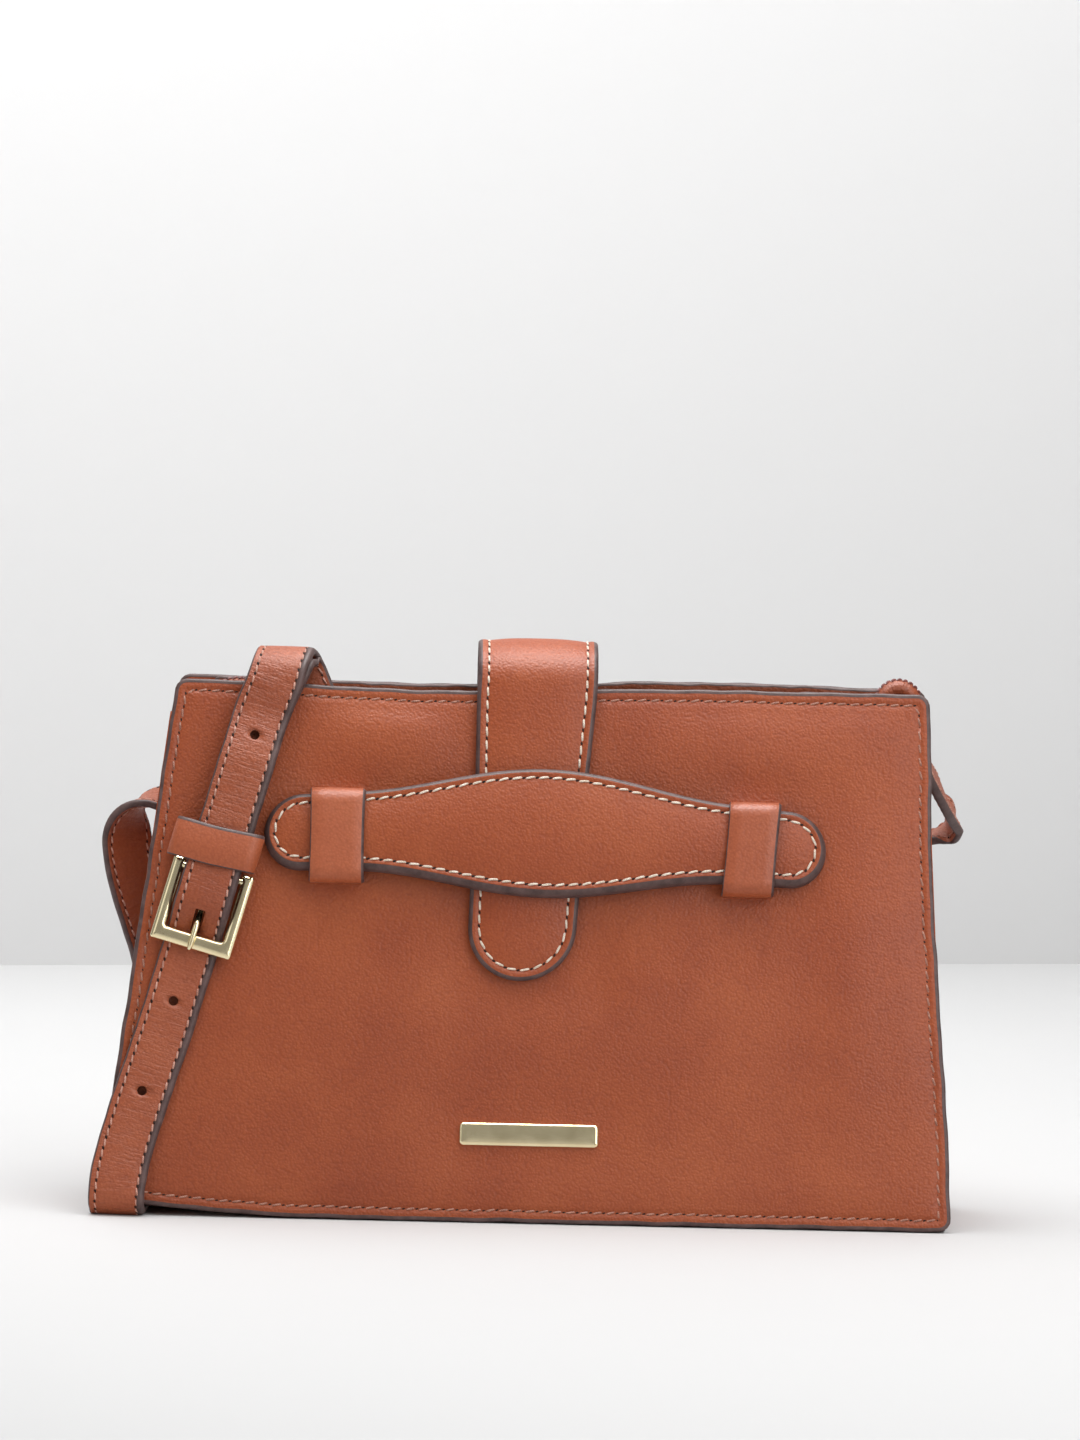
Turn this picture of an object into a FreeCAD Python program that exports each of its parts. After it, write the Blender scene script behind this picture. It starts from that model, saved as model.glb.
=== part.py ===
import FreeCAD, Part
import math
import os

import Sketcher
from FreeCAD import Placement, Rotation, Vector

# Small leather sling bag that stands on a floor.
# Millimetres. +X to the viewer's right, +Y to the back, +Z up.
# The origin is the middle of the base panel's underside.

doc = FreeCAD.newDocument("sling_bag")

# ---------------------------------------------------------------- driving dimensions

DIMENSIONS = {
    # body of the bag
    "base_width": 250.0,
    "top_width": 219.0,
    "bag_height": 156.0,
    "base_depth": 62.0,
    "top_depth": 24.0,
    "slump": 4.8,  # the soft body leans this far to the right at its top
    "corner_top": 4.0,
    "corner_base": 3.5,
    "foot_trim": 0.4,  # keeps the slanted panels' inner corners off the floor
    "lift_start": -50.0,  # left of here the sole rises over the strap that passes below
    "lift_radius": 600.0,
    # leather and board thicknesses
    "leather": 1.6,
    "thin_leather": 1.2,
    "lining": 0.6,
    "lining_foot": 12.0,
    "seam_width": 7.0,
    "facing_height": 22.0,
    "gusset_top": 146.0,
    "gusset_fold": 12.0,
    # grip band
    "band_x": 4.0,
    "band_up": 112.8,
    "band_length": 163.8,
    "band_end": 22.0,
    "band_mid": 35.6,
    "band_shoulder": 50.0,
    "band_gap": 0.4,
    "band_crown": 4.0,
    "band_radius": 830.0,
    "band_back": 1.2,
    "band_fill": 1.8,
    "band_face": 1.4,
    # keepers that hold the band
    "keeper_spacing": 120.6,
    "keeper_width": 15.6,
    "keeper_leather": 1.4,
    "keeper_inside": 24.8,
    "keeper_rise": 7.8,
    "keeper_foot": 6.0,
    # closure tab
    "tab_x": 0.6,
    "tab_top_width": 36.0,
    "tab_tip_width": 32.0,
    "tab_tip": 70.7,
    "tab_gap": 0.4,
    "tab_back": 1.2,
    "tab_fill": 0.9,
    "tab_face": 1.3,
    "tab_root_up": 126.0,
    "root_corner": 5.0,
    # slip pocket on the back lining
    "pocket_up": 70.0,
    "pocket_width": 124.0,
    "pocket_height": 76.0,
    "pocket_corner": 6.0,
    # metal name bar, left plain
    "bar_x": 1.4,
    "bar_up": 26.0,
    "bar_length": 40.6,
    "bar_height": 6.8,
    "bar_thick": 1.4,
    "bar_corner": 1.2,
    "prong_spacing": 28.0,
    "prong_radius": 0.7,
    "washer_radius": 3.0,
    "washer_thick": 1.0,
    # strap, buckle and strap keeper
    "strap_width": 16.0,
    "strap_thick": 2.6,
    "strap_lean": 15.7,
    "buckle_x": -95.4,
    "buckle_up": 89.2,
    "buckle_width": 24.4,
    "buckle_length": 25.0,
    "buckle_side": 3.5,
    "buckle_foot": 4.6,
    "buckle_thick": 2.2,
    "buckle_corner": 0.6,
    "pivot_radius": 1.2,
    "pivot_up": 11.2,
    "pivot_out": 4.2,
    "tongue_radius": 0.95,
    "loop_left": -14.5,
    "loop_right": 11.2,
    "loop_taper": 2.4,
    "loop_foot": 13.8,
    "loop_height": 11.5,
    "loop_leather": 1.0,
    "loop_depth": 8.6,
    "loop_corner": 1.8,
    "loop_back": 0.2,
    "hole_radius": 1.4,
    "root_radius": 2.4,
}

sheet = doc.addObject("Spreadsheet::Sheet", "bag")
for row, (alias, number) in enumerate(DIMENSIONS.items(), start=1):
    sheet.set(f"A{row}", alias)
    sheet.set(f"B{row}", str(number))
    sheet.setAlias(f"B{row}", alias)
doc.recompute()


def size(alias):
    """A driving dimension, read back from the sheet."""
    return float(getattr(sheet, alias))


def value(expression):
    """The number that an expression on the sheet comes to."""
    result = sheet.evalExpression(expression)
    return float(getattr(result, "Value", result))


def bound(text):
    """The expression as the other objects of the document write it."""
    words = sorted(DIMENSIONS, key=len, reverse=True)
    out = ""
    position = 0
    while position < len(text):
        word = next((w for w in words if text.startswith(w, position)), None)
        if word:
            out += "bag." + word
            position += len(word)
        else:
            out += text[position]
            position += 1
    return out


# ---------------------------------------------------------------- the two slanted walls

HALF_BASE = size("base_depth") / 2
SLOPE = (size("base_depth") - size("top_depth")) / 2 / size("bag_height")
LEAN = math.atan(SLOPE)
WALL_LEAN = "atan((base_depth - top_depth) / 2 / bag_height)"
WALL_HEIGHT = f"(bag_height / cos({WALL_LEAN}))"

FRONT = Placement(Vector(0, -HALF_BASE, 0), Rotation(Vector(1, 0, 0), 90 - math.degrees(LEAN)))
BACK = Placement(Vector(0, HALF_BASE, 0), Rotation(Vector(1, 0, 0), 90 + math.degrees(LEAN)))
FRONT_OUT = Vector(0, -math.cos(LEAN), math.sin(LEAN))
SIDE_ON = Rotation(Vector(1, 1, 1), 120)  # for profiles in y and z, padded along x

# The front wall's own axes: x to the right, y up the slope, z out of the leather.
# The back wall's: x to the right, y up the slope, z into the bag.


def front(x, up, out):
    """A point given in the front wall's axes."""
    return FRONT.multVec(Vector(x, up, out))


def edge_x(side, height):
    """x of the walls' left (-1) or right (+1) edge at a height above the floor."""
    part = height / size("bag_height")
    half = (1 - part) * size("base_width") / 2 + part * size("top_width") / 2
    return side * half + part * size("slump")


# ---------------------------------------------------------------- small modelling helpers


def origin_plane(body, role):
    return next(f for f in body.Origin.OriginFeatures if f.Role == role)


def new_sketch(body, name):
    sketch = body.newObject("Sketcher::SketchObject", name)
    sketch.AttachmentSupport = [(origin_plane(body, "XY_Plane"), "")]
    sketch.MapMode = "FlatFace"
    return sketch


def add_outline(sketch, corners, arcs=()):
    """A closed outline through the corners; arcs maps a side to (middle point, radius)."""
    arcs = dict(arcs)
    first = sketch.GeometryCount
    points = [Vector(value(x), value(y), 0) for x, y in corners]
    count = len(points)
    for i in range(count):
        start, end = points[i], points[(i + 1) % count]
        if i in arcs:
            middle, radius = arcs[i]
            curve = Part.Arc(start, Vector(value(middle[0]), value(middle[1]), 0), end)
            sketch.addGeometry(curve, False)
        else:
            sketch.addGeometry(Part.LineSegment(start, end), False)
    for i in range(count):
        following = (i + 1) % count
        ends = end_numbers(sketch, first + i, points[i])
        starts = end_numbers(sketch, first + following, points[following])
        constraint = Sketcher.Constraint("Coincident", first + i, ends[1], first + following, starts[0])
        sketch.addConstraint(constraint)
    for i in range(count):
        number = end_numbers(sketch, first + i, points[i])[0]
        for kind, expression in zip(("DistanceX", "DistanceY"), corners[i]):
            constraint = Sketcher.Constraint(kind, -1, 1, first + i, number, value(expression))
            index = sketch.addConstraint(constraint)
            sketch.setExpression(f"Constraints[{index}]", bound(expression))
    for i, (middle, radius) in arcs.items():
        index = sketch.addConstraint(Sketcher.Constraint("Radius", first + i, value(radius)))
        sketch.setExpression(f"Constraints[{index}]", bound(radius))


def end_numbers(sketch, index, start):
    """The sketcher's numbers of a side's (start, end): an arc may be stored the other way round."""
    if sketch.getPoint(index, 1).distanceToPoint(start) < 1e-6:
        return (1, 2)
    return (2, 1)


def plate(name, corners, low, high, placement, rounds=None, arcs=(), holes=()):
    """A flat piece: an outline padded from low to high along its own z, with rounded corners."""
    body = doc.addObject("PartDesign::Body", name)
    sketch = new_sketch(body, name + "_outline")
    add_outline(sketch, corners, arcs)
    for hole in holes:
        add_outline(sketch, hole)
    pad = body.newObject("PartDesign::Pad", name + "_pad")
    pad.Profile = sketch
    pad.setExpression("Length", bound(f"({high}) - ({low})"))
    sketch.setExpression(".AttachmentOffset.Base.z", bound(low))
    body.Tip = pad
    doc.recompute()
    for step, (radius, places) in enumerate((rounds or {}).items()):
        base = body.Tip
        edges = []
        for i, edge in enumerate(base.Shape.Edges, start=1):
            a, b = edge.Vertexes[0].Point, edge.Vertexes[-1].Point
            upright = abs(a.x - b.x) < 1e-6 and abs(a.y - b.y) < 1e-6
            if upright and any(math.hypot(a.x - x, a.y - y) < 0.05 for x, y in places):
                edges.append(f"Edge{i}")
        fillet = body.newObject("PartDesign::Fillet", f"{name}_round{step}")
        fillet.Base = (base, edges)
        fillet.setExpression("Radius", bound(radius))
        doc.recompute()
    body.Placement = placement
    return body


def spots(corners, indices):
    """The places of some corners of an outline, as numbers."""
    return [(value(corners[i][0]), value(corners[i][1])) for i in indices]


def boolean(kind, name, shapes):
    """A Part boolean of document objects: kind is MultiCommon, MultiFuse or Cut."""
    result = doc.addObject("Part::" + kind, name)
    if kind == "Cut":
        result.Base, result.Tool = shapes
    else:
        result.Shapes = shapes
    return result


def feature(name, shape):
    """A piece whose shape neither a sketch nor a primitive can hold."""
    piece = doc.addObject("Part::Feature", name)
    piece.Shape = shape
    piece.Placement = Placement()
    return piece


def cylinder(name, radius, length, placement):
    solid = doc.addObject("Part::Cylinder", name)
    solid.setExpression("Radius", bound(radius))
    solid.setExpression("Height", bound(length))
    solid.Placement = placement
    return solid


parts = {}


def keep(name, piece):
    """Name a finished piece and list it for export."""
    piece.Label = name
    parts[name] = piece


# ---------------------------------------------------------------- walls, facings, linings


def wall_outline(inset, low, high):
    """Corners of a wall layer, anticlockwise from the lower right, between two heights up the wall."""

    def edge(side, up):
        run = f"((base_width - top_width) / 2 * ({up}) / {WALL_HEIGHT})"
        lean = f"(slump * ({up}) / {WALL_HEIGHT})"
        sign = "" if side > 0 else "-"
        return f"{sign}(base_width / 2 - {run} - ({inset})) + {lean}"

    return [
        (edge(1, low), low),
        (edge(1, high), high),
        (edge(-1, high), high),
        (edge(-1, low), low),
    ]


def rise(x):
    """How far the lifted sole stands off the floor at x."""
    return f"(lift_radius - sqrt(lift_radius ^ 2 - (({x}) - lift_start) ^ 2))"


def sole_corner(up):
    """x of the lower left corner of a wall."""
    return wall_outline("0", up, up)[3][0]


def lifted_outline(low):
    """The full wall outline, whose lower edge curves up to the left over the strap."""
    corners = wall_outline("0", low, WALL_HEIGHT)
    left_x = sole_corner(low)
    corners[3] = (left_x, f"{low} + {rise(left_x)}")
    corners.append(("lift_start", low))
    middle_x = f"((lift_start + {left_x}) / 2)"
    arc = {3: ((middle_x, f"{low} + {rise(middle_x)}"), "lift_radius")}
    return corners, arc


def slot(x, up, half_width, half_height):
    """A rectangular hole as an outline."""
    return [
        (f"{x} - ({half_width})", f"{up} - ({half_height})"),
        (f"{x} + ({half_width})", f"{up} - ({half_height})"),
        (f"{x} + ({half_width})", f"{up} + ({half_height})"),
        (f"{x} - ({half_width})", f"{up} + ({half_height})"),
    ]


KEEPER_SIDES = {"left": "-", "right": "+"}
FOOT_CENTRE = "((keeper_inside + keeper_leather) / 2)"


def keeper_x(side):
    return f"(band_x {KEEPER_SIDES[side]} keeper_spacing / 2)"


def keeper_slits():
    """Slits in the front wall for the keepers' four legs."""
    holes = []
    for side in KEEPER_SIDES:
        for sign in "+-":
            up = f"(band_up {sign} {FOOT_CENTRE})"
            holes.append(slot(keeper_x(side), up, "keeper_width / 2 + 0.1", "keeper_leather / 2 + 0.1"))
    return holes


def keeper_windows():
    """Windows in the board behind the wall for the keepers' feet."""
    holes = []
    for side in KEEPER_SIDES:
        for sign in "+-":
            up = f"(band_up {sign} ({FOOT_CENTRE} - keeper_leather / 2 + keeper_foot / 2))"
            holes.append(slot(keeper_x(side), up, "keeper_width / 2 + 0.3", "keeper_foot / 2 + 0.3"))
    return holes


def prong_places(out):
    """Centres of the name bar's two prongs, as points in the front wall's axes."""
    return [
        Vector(value(f"bar_x {sign} prong_spacing / 2"), size("bar_up"), out)
        for sign in "-+"
    ]


def drilled(name, piece, radius, low, high, frame, centres):
    """The piece with round holes through it between two depths."""
    drills = []
    for i, centre in enumerate(centres):
        start = Vector(centre.x, centre.y, value(low))
        place = frame.multiply(Placement(start, Rotation()))
        drills.append(cylinder(f"{name}_drill{i}", radius, f"({high}) - ({low})", place))
    tool = boolean("MultiFuse", name + "_drills", drills)
    return boolean("Cut", name + "_drilled", (piece, tool))


def wall(name, frame, low, high, holes=()):
    corners, arcs = lifted_outline("foot_trim")
    rounds = {
        "corner_top": spots(corners, (1, 2)),
        "corner_base": spots(corners, (0, 3)),
    }
    return plate(name, corners, low, high, frame, rounds, arcs, holes)


front_panel = wall("front_panel", FRONT, "-leather", "0", keeper_slits())
bores = prong_places(0)
front_panel = drilled("front_panel", front_panel, "prong_radius", "-leather - 1", "1", FRONT, bores)
keep("front_panel", front_panel)
keep("back_panel", wall("back_panel", BACK, "0", "leather"))

# Depths at which a wall's layers meet, from its outer leather inwards.
LAYER_1 = "leather"
LAYER_2 = "leather + thin_leather"
LAYER_3 = "leather + thin_leather + lining"
LAYER_4 = "leather + thin_leather + 2 * lining"

# The wall's frame, and the (low, high) limits of its first and second inner layer.
LAYERS = {
    "front": (FRONT, (f"-({LAYER_2})", f"-({LAYER_1})"), (f"-({LAYER_3})", f"-({LAYER_2})")),
    "back": (BACK, (LAYER_1, LAYER_2), (LAYER_2, LAYER_3)),
}
FACING_FOOT = f"({WALL_HEIGHT} - facing_height)"
SEAM_INSET = "seam_width + 3.4"

for wall_name, (frame, first, second) in LAYERS.items():
    facing = wall_outline(SEAM_INSET, FACING_FOOT, WALL_HEIGHT)
    keep(f"{wall_name}_facing", plate(f"{wall_name}_facing", facing, *first, frame))
    board = wall_outline(SEAM_INSET, "lining_foot", f"{FACING_FOOT} - 0.2")
    windows = keeper_windows() if wall_name == "front" else ()
    stiffener = plate(f"{wall_name}_stiffener", board, *first, frame, holes=windows)
    if wall_name == "front":
        low, high = first[0] + " - 1", first[1] + " + 1"
        stiffener = drilled("front_stiffener", stiffener, "washer_radius + 0.2", low, high, frame, bores)
    keep(f"{wall_name}_stiffener", stiffener)
    cloth = wall_outline(SEAM_INSET + " + 3", "lining_foot", f"{FACING_FOOT} + 4")
    keep(f"lining_{wall_name}", plate(f"lining_{wall_name}", cloth, *second, frame))

pocket = slot("0", "pocket_up", "pocket_width / 2", "pocket_height / 2")
pocket_rounds = {"pocket_corner": spots(pocket, (0, 1))}
keep("slip_pocket", plate("slip_pocket", pocket, LAYER_3, LAYER_4, BACK, pocket_rounds))

# ---------------------------------------------------------------- base panel, board and lining

UPRIGHT = Placement(Vector(0, 50, 0), Rotation(Vector(1, 0, 0), 90))  # profiles in x and z, padded forwards


def sole_layer(name, half_length, low, high):
    """A strip that follows the sole's curve, across the bag, between two heights above its underside."""

    def level(x, height):
        return f"lift_radius - sqrt((lift_radius - ({height})) ^ 2 - (({x}) - lift_start) ^ 2)"

    left = f"(-({half_length}))"
    corners = [
        (half_length, low),
        (half_length, high),
        ("lift_start", high),
        (left, level(left, high)),
        (left, level(left, low)),
        ("lift_start", low),
    ]
    middle = f"(({left} + lift_start) / 2)"
    arcs = {
        2: ((middle, level(middle, high)), f"lift_radius - ({high})"),
        4: ((middle, level(middle, low)), f"lift_radius - ({low})"),
    }
    return plate(name, corners, "0", "100", UPRIGHT, arcs=arcs)


def between_walls(name, depth):
    """The wedge of space between the two walls, inside the given depth below their outer faces."""
    foot = f"(base_depth / 2 - ({depth}) / cos({WALL_LEAN}))"
    head = f"({foot} - (base_depth - top_depth) / 2 * 1.1)"
    corners = [
        (foot, "0"),
        (head, "bag_height * 1.1"),
        (f"-{head}", "bag_height * 1.1"),
        (f"-{foot}", "0"),
    ]
    return plate(name, corners, "0", "300", Placement(Vector(-150, 0, 0), SIDE_ON))


web = sole_layer("base_web", "base_width / 2 - 1.5", "0", "leather")
turnup = sole_layer("base_turnup", "base_width / 2 - 13", "0", "8")
hollow = boolean("MultiCommon", "base_hollow", [
    sole_layer("base_inside", "base_width / 2", "leather", "20"),
    between_walls("base_wedge_in", "leather + thin_leather"),
])
tray = boolean("MultiCommon", "base_tray", [
    boolean("MultiFuse", "base_blank", [web, turnup]),
    between_walls("base_wedge_out", "leather"),
])
keep("base_panel", boolean("Cut", "base_panel", (tray, hollow)))

for name, low, high in (("base_board", LAYER_1, LAYER_2), ("lining_base", LAYER_2, LAYER_3)):
    layer = sole_layer(name + "_layer", "base_width / 2 - 12", low, high)
    wedge = between_walls(name + "_wedge", LAYER_2)
    keep(name, boolean("MultiCommon", name, [layer, wedge]))

# ---------------------------------------------------------------- folded gussets


def gusset_section(side, height):
    """A gusset's outline at one height: a flange along each wall and a web folded in to a crease."""
    layer = size("thin_leather") / math.cos(LEAN)
    wall_y = HALF_BASE - SLOPE * height - size("leather") / math.cos(LEAN)
    part = height / size("gusset_top")
    edge = edge_x(side, height) - side * 1.2 * (1 - part)
    turn = edge - side * size("seam_width")
    crease = turn - side * size("gusset_fold") * part
    skin = side * size("thin_leather") * 1.25
    ring = [
        (edge, -wall_y),
        (edge, -wall_y + layer),
        (turn, -wall_y + layer),
        (crease, 0),
        (turn, wall_y - layer),
        (edge, wall_y - layer),
        (edge, wall_y),
        (turn - skin, wall_y),
        (crease - skin, 0),
        (turn - skin, -wall_y),
    ]
    return Part.makePolygon([Vector(x, y, height) for x, y in ring + ring[:1]])


def flange_section(side, height, wall_side):
    layer = size("thin_leather") / math.cos(LEAN)
    wall_y = HALF_BASE - SLOPE * height - size("leather") / math.cos(LEAN)
    edge = edge_x(side, height)
    turn = edge - side * size("seam_width")
    ys = (wall_side * wall_y, wall_side * (wall_y - layer))
    ring = [(edge, ys[0]), (edge, ys[1]), (turn, ys[1]), (turn, ys[0])]
    return Part.makePolygon([Vector(x, y, height) for x, y in ring + ring[:1]])


def gusset(name, side, foot):
    """A gusset leather from its foot to its top, with the two flanges running on towards the corners."""
    top = size("gusset_top")
    shape = Part.makeLoft([gusset_section(side, foot), gusset_section(side, top)], True, True)
    for wall_side in (-1, 1):
        ends = [flange_section(side, height, wall_side) for height in (top, top + 5)]
        shape = shape.fuse(Part.makeLoft(ends, True, True))
    keep(name, feature(name, shape.removeSplitter()))


LEFT_FOOT = size("leather") + value(rise("(-base_width / 2)")) + 0.1
gusset("gusset_left", -1, LEFT_FOOT)
gusset("gusset_right", 1, size("leather"))

# ---------------------------------------------------------------- grip band and its keepers


def band_outline():
    """The band: round ends, straight necks under the keepers and a wide middle."""
    half = "(band_length / 2)"
    end = "(band_end / 2)"
    neck = "(band_end / 2 + 0.4)"
    peak = "(band_mid / 2 + 0.9)"
    right = [(f"band_x + {half}", f"band_up - {end}"), (f"band_x + {half}", f"band_up + {end}")]
    left = [(f"band_x - {half}", f"band_up + {end}"), (f"band_x - {half}", f"band_up - {end}")]
    upper = [
        ("band_x + band_shoulder", f"band_up + {neck}"),
        ("band_x", f"band_up + {peak}"),
        ("band_x - band_shoulder", f"band_up + {neck}"),
    ]
    lower = [
        ("band_x - band_shoulder", f"band_up - {neck}"),
        ("band_x", f"band_up - {peak}"),
        ("band_x + band_shoulder", f"band_up - {neck}"),
    ]
    return right + upper + left + lower


def band_layer(name, low, high):
    """One layer of the band, bowed outwards so that the middle clears the closure tab."""
    corners = band_outline()
    rounds = {
        "band_end / 2 - 0.2": spots(corners, (0, 1, 5, 6)),
        "120": spots(corners, (2, 4, 7, 9)),
        "140": spots(corners, (3, 8)),
    }
    blank = plate(name + "_blank", corners, "-5", "20", FRONT, rounds)
    drums = []
    for label, out in (("outer", high), ("inner", low)):
        centre = Vector(size("band_x"), value("band_up - 40"), value("band_gap + band_crown - band_radius"))
        turned = Placement(centre, Rotation(Vector(1, 0, 0), -90))
        drums.append(cylinder(f"{name}_{label}", f"band_radius + ({out})", "80", FRONT.multiply(turned)))
    shell = boolean("Cut", name + "_shell", drums)
    keep(name, boolean("MultiCommon", name, [blank, shell]))


band_layer("grip_band_backing", "0", "band_back")
band_layer("grip_band_filler", "band_back", "band_back + band_fill")
band_layer("grip_band_face", "band_back + band_fill", "band_back + band_fill + band_face")


def band_keeper(side):
    """A leather staple over the band: two legs through the front wall, with feet turned out behind it."""
    name = f"band_keeper_{side}"
    inner = "(keeper_inside / 2)"
    outer = "(keeper_inside / 2 + keeper_leather)"
    foot = "(keeper_inside / 2 + keeper_foot)"
    seat = "(-leather)"
    sole = "(-leather - thin_leather)"
    crown = "keeper_rise + keeper_leather"
    right = [(inner, sole), (foot, sole), (foot, seat), (outer, seat), (outer, crown)]
    left = [(f"-{y}", up) for y, up in reversed(right)]
    corners = right + left + [(f"-{inner}", "keeper_rise"), (inner, "keeper_rise")]
    centre = Vector(value(f"{keeper_x(side)} - keeper_width / 2"), size("band_up"), 0)
    across = FRONT.multiply(Placement(centre, SIDE_ON))
    rounds = {"2.2": spots(corners, (4, 5)), "0.9": spots(corners, (10, 11))}
    keep(name, plate(name, corners, "0", "keeper_width", across, rounds))


for side in KEEPER_SIDES:
    band_keeper(side)

# ---------------------------------------------------------------- closure tab

ARCH_UP = "(bag_height + 1)"  # height of the arch's centre, above the mouth
TO_WALL = f"(base_depth / 2 * cos({WALL_LEAN}) - {ARCH_UP} * sin({WALL_LEAN}))"


def tab_outline():
    """The tab seen from the front: slightly tapered, with a round tip."""
    top, tip = "(tab_top_width / 2)", "(tab_tip_width / 2)"
    return [
        (f"tab_x + {tip}", "tab_tip"),
        (f"tab_x + {top}", f"{WALL_HEIGHT} - 8"),
        (f"tab_x + {top}", f"{WALL_HEIGHT} + 30"),
        (f"tab_x - {top}", f"{WALL_HEIGHT} + 30"),
        (f"tab_x - {top}", f"{WALL_HEIGHT} - 8"),
        (f"tab_x - {tip}", "tab_tip"),
    ]


def arch_profile(low, high):
    """The tab seen from the side: a straight leg down the front wall and an arch over the mouth."""
    inner, outer = f"({TO_WALL} + {low})", f"({TO_WALL} + {high})"
    sin, cos = f"sin({WALL_LEAN})", f"cos({WALL_LEAN})"
    leg = "100"

    def at(radius, side):
        return (f"{side}{radius} * {cos}", f"{ARCH_UP} + {radius} * {sin}")

    def foot(radius):
        return (f"-{radius} * {cos} - {leg} * {sin}", f"{ARCH_UP} + {radius} * {sin} - {leg} * {cos}")

    corners = [foot(inner), foot(outer), at(outer, "-"), at(outer, ""), at(inner, ""), at(inner, "-")]
    arcs = {
        2: (("0", f"{ARCH_UP} + {outer}"), outer),
        4: (("0", f"{ARCH_UP} + {inner}"), inner),
    }
    return corners, arcs


def tab_layer(name, low, high):
    corners, arcs = arch_profile(low, high)
    beside = Placement(Vector(size("tab_x") - 30, 0, 0), SIDE_ON)
    strip = plate(name + "_strip", corners, "0", "60", beside, arcs=arcs)
    outline = tab_outline()
    rounds = {"tab_tip_width / 2 - 0.4": spots(outline, (0, 5))}
    blank = plate(name + "_blank", outline, "-60", "20", FRONT, rounds)
    keep(name, boolean("MultiCommon", name, [strip, blank]))


TAB_THICK = "tab_gap + tab_back + tab_fill + tab_face"
tab_layer("closure_tab_backing", "tab_gap", "tab_gap + tab_back")
tab_layer("closure_tab_filler", "tab_gap + tab_back", "tab_gap + tab_back + tab_fill")
tab_layer("closure_tab_face", "tab_gap + tab_back + tab_fill", TAB_THICK)

ROOT_HEAD = f"({ARCH_UP} * cos({WALL_LEAN}) + base_depth / 2 * sin({WALL_LEAN}) - 0.3)"
root_outline = [
    ("tab_x + tab_top_width / 2", "tab_root_up"),
    ("tab_x + tab_top_width / 2", ROOT_HEAD),
    ("tab_x - tab_top_width / 2", ROOT_HEAD),
    ("tab_x - tab_top_width / 2", "tab_root_up"),
]
root_rounds = {"root_corner": spots(root_outline, (0, 3))}
keep("closure_tab_root", plate("closure_tab_root", root_outline, f"-({TAB_THICK})", "0", BACK, root_rounds))

# ---------------------------------------------------------------- plain metal bar on the front

bar_outline = slot("bar_x", "bar_up", "bar_length / 2", "bar_height / 2")
bar = plate("trim_bar", bar_outline, "0", "bar_thick", FRONT, {"bar_corner": spots(bar_outline, range(4))})
prong_feet = [
    FRONT.multiply(Placement(centre, Rotation()))
    for centre in prong_places(value("-leather - washer_thick"))
]
prongs = [
    cylinder(f"bar_prong{i}", "prong_radius - 0.05", "leather + washer_thick + 0.5", foot)
    for i, foot in enumerate(prong_feet)
]
keep("trim_bar", boolean("MultiFuse", "trim_bar_fused", [bar] + prongs))
washers = [
    cylinder(f"washer{i}", "washer_radius", "washer_thick", foot)
    for i, foot in enumerate(prong_feet)
]
washer_set = boolean("MultiFuse", "washer_set", washers)
washer_set = drilled("washers", washer_set, "prong_radius", "-leather - 2", "0", FRONT, bores)
keep("trim_bar_washers", washer_set)

# ---------------------------------------------------------------- strap

# The strap's own axes on the front wall: x across it, y up along it, z out of the wall.
BUCKLE_CENTRE = Vector(size("buckle_x"), size("buckle_up"), 0)
STRAP = FRONT.multiply(Placement(BUCKLE_CENTRE, Rotation(Vector(0, 0, 1), -size("strap_lean"))))
THICK = size("strap_thick")
THIN = THICK / 2


def on_strap(along, out, facing=(0, 1)):
    """A station on the strap's front run; facing is the leather's normal as (along, out)."""
    normal = STRAP.Rotation.multVec(Vector(0, facing[0], facing[1]))
    return STRAP.multVec(Vector(0, along, out)), normal


def on_front(x, height, out):
    """A station on the front wall, at a height above the floor."""
    return front(x, height / math.cos(LEAN), out), FRONT_OUT


def free(x, y, z, nx, ny, nz):
    """A station of the strap where it hangs free: its middle and its leather's normal."""
    return Vector(x, y, z), Vector(nx, ny, nz)


SHORT_STRAP = [
    # loop that hangs inside the bag, from the left root to the mouth
    (free(-80, 0, 142.6, -1, 0, 0), THICK),
    (free(-80, -0.3, 131, -1, 0, -0.05), THICK),
    (free(-77, -1.2, 119, -0.85, 0, -0.5), THICK),
    (free(-69, -2.4, 112.6, 0, 0, -1), THICK),
    (free(-61, -3.6, 116, 0.8, -0.1, -0.6), THICK),
    (free(-57.5, -4.4, 125, 0.75, 0.65, -0.1), THICK),
    (free(-59.8, -4.9, 135, 0.25, 0.95, 0), THICK),
    (free(-64.5, -4.8, 147, 0, 1, 0), THICK),
    # over the front wall's top edge
    (free(-68.4, -4.3, 156.5, 0, 1, -0.1), THICK),
    (free(-70.2, -5.6, 159.2, 0, 0.6, 0.8), THICK),
    (free(-71.6, -9, 160.9, 0, 0, 1), THICK),
    (free(-73.2, -12.4, 159.2, 0, -0.75, 0.66), THICK),
    (free(-75, -13.9, 155.8, 0, -1, 0.12), THICK),
    # down the front
    (on_strap(60, 1.65), THICK),
    (on_strap(50, 3.5), THICK),
    (on_strap(45, 4.25), THICK),
    (on_strap(30, 4.3), THICK),
    (on_strap(19, 4.35), THICK),
    (on_strap(14.5, 6.1), THIN),
    # round the buckle's pivot bar and back up behind
    (on_strap(11.2, 6.25), THIN),
    (on_strap(9.75, 5.65, (-0.7, 0.7)), THIN),
    (on_strap(9.15, 4.2, (-1, 0)), THIN),
    (on_strap(9.75, 2.75, (-0.7, -0.7)), THIN),
    (on_strap(11.2, 2.15, (0, -1)), THIN),
    (on_strap(20, 2.15, (0, -1)), THIN),
    (on_strap(30, 2.15, (0, -1)), THIN),
]

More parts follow.
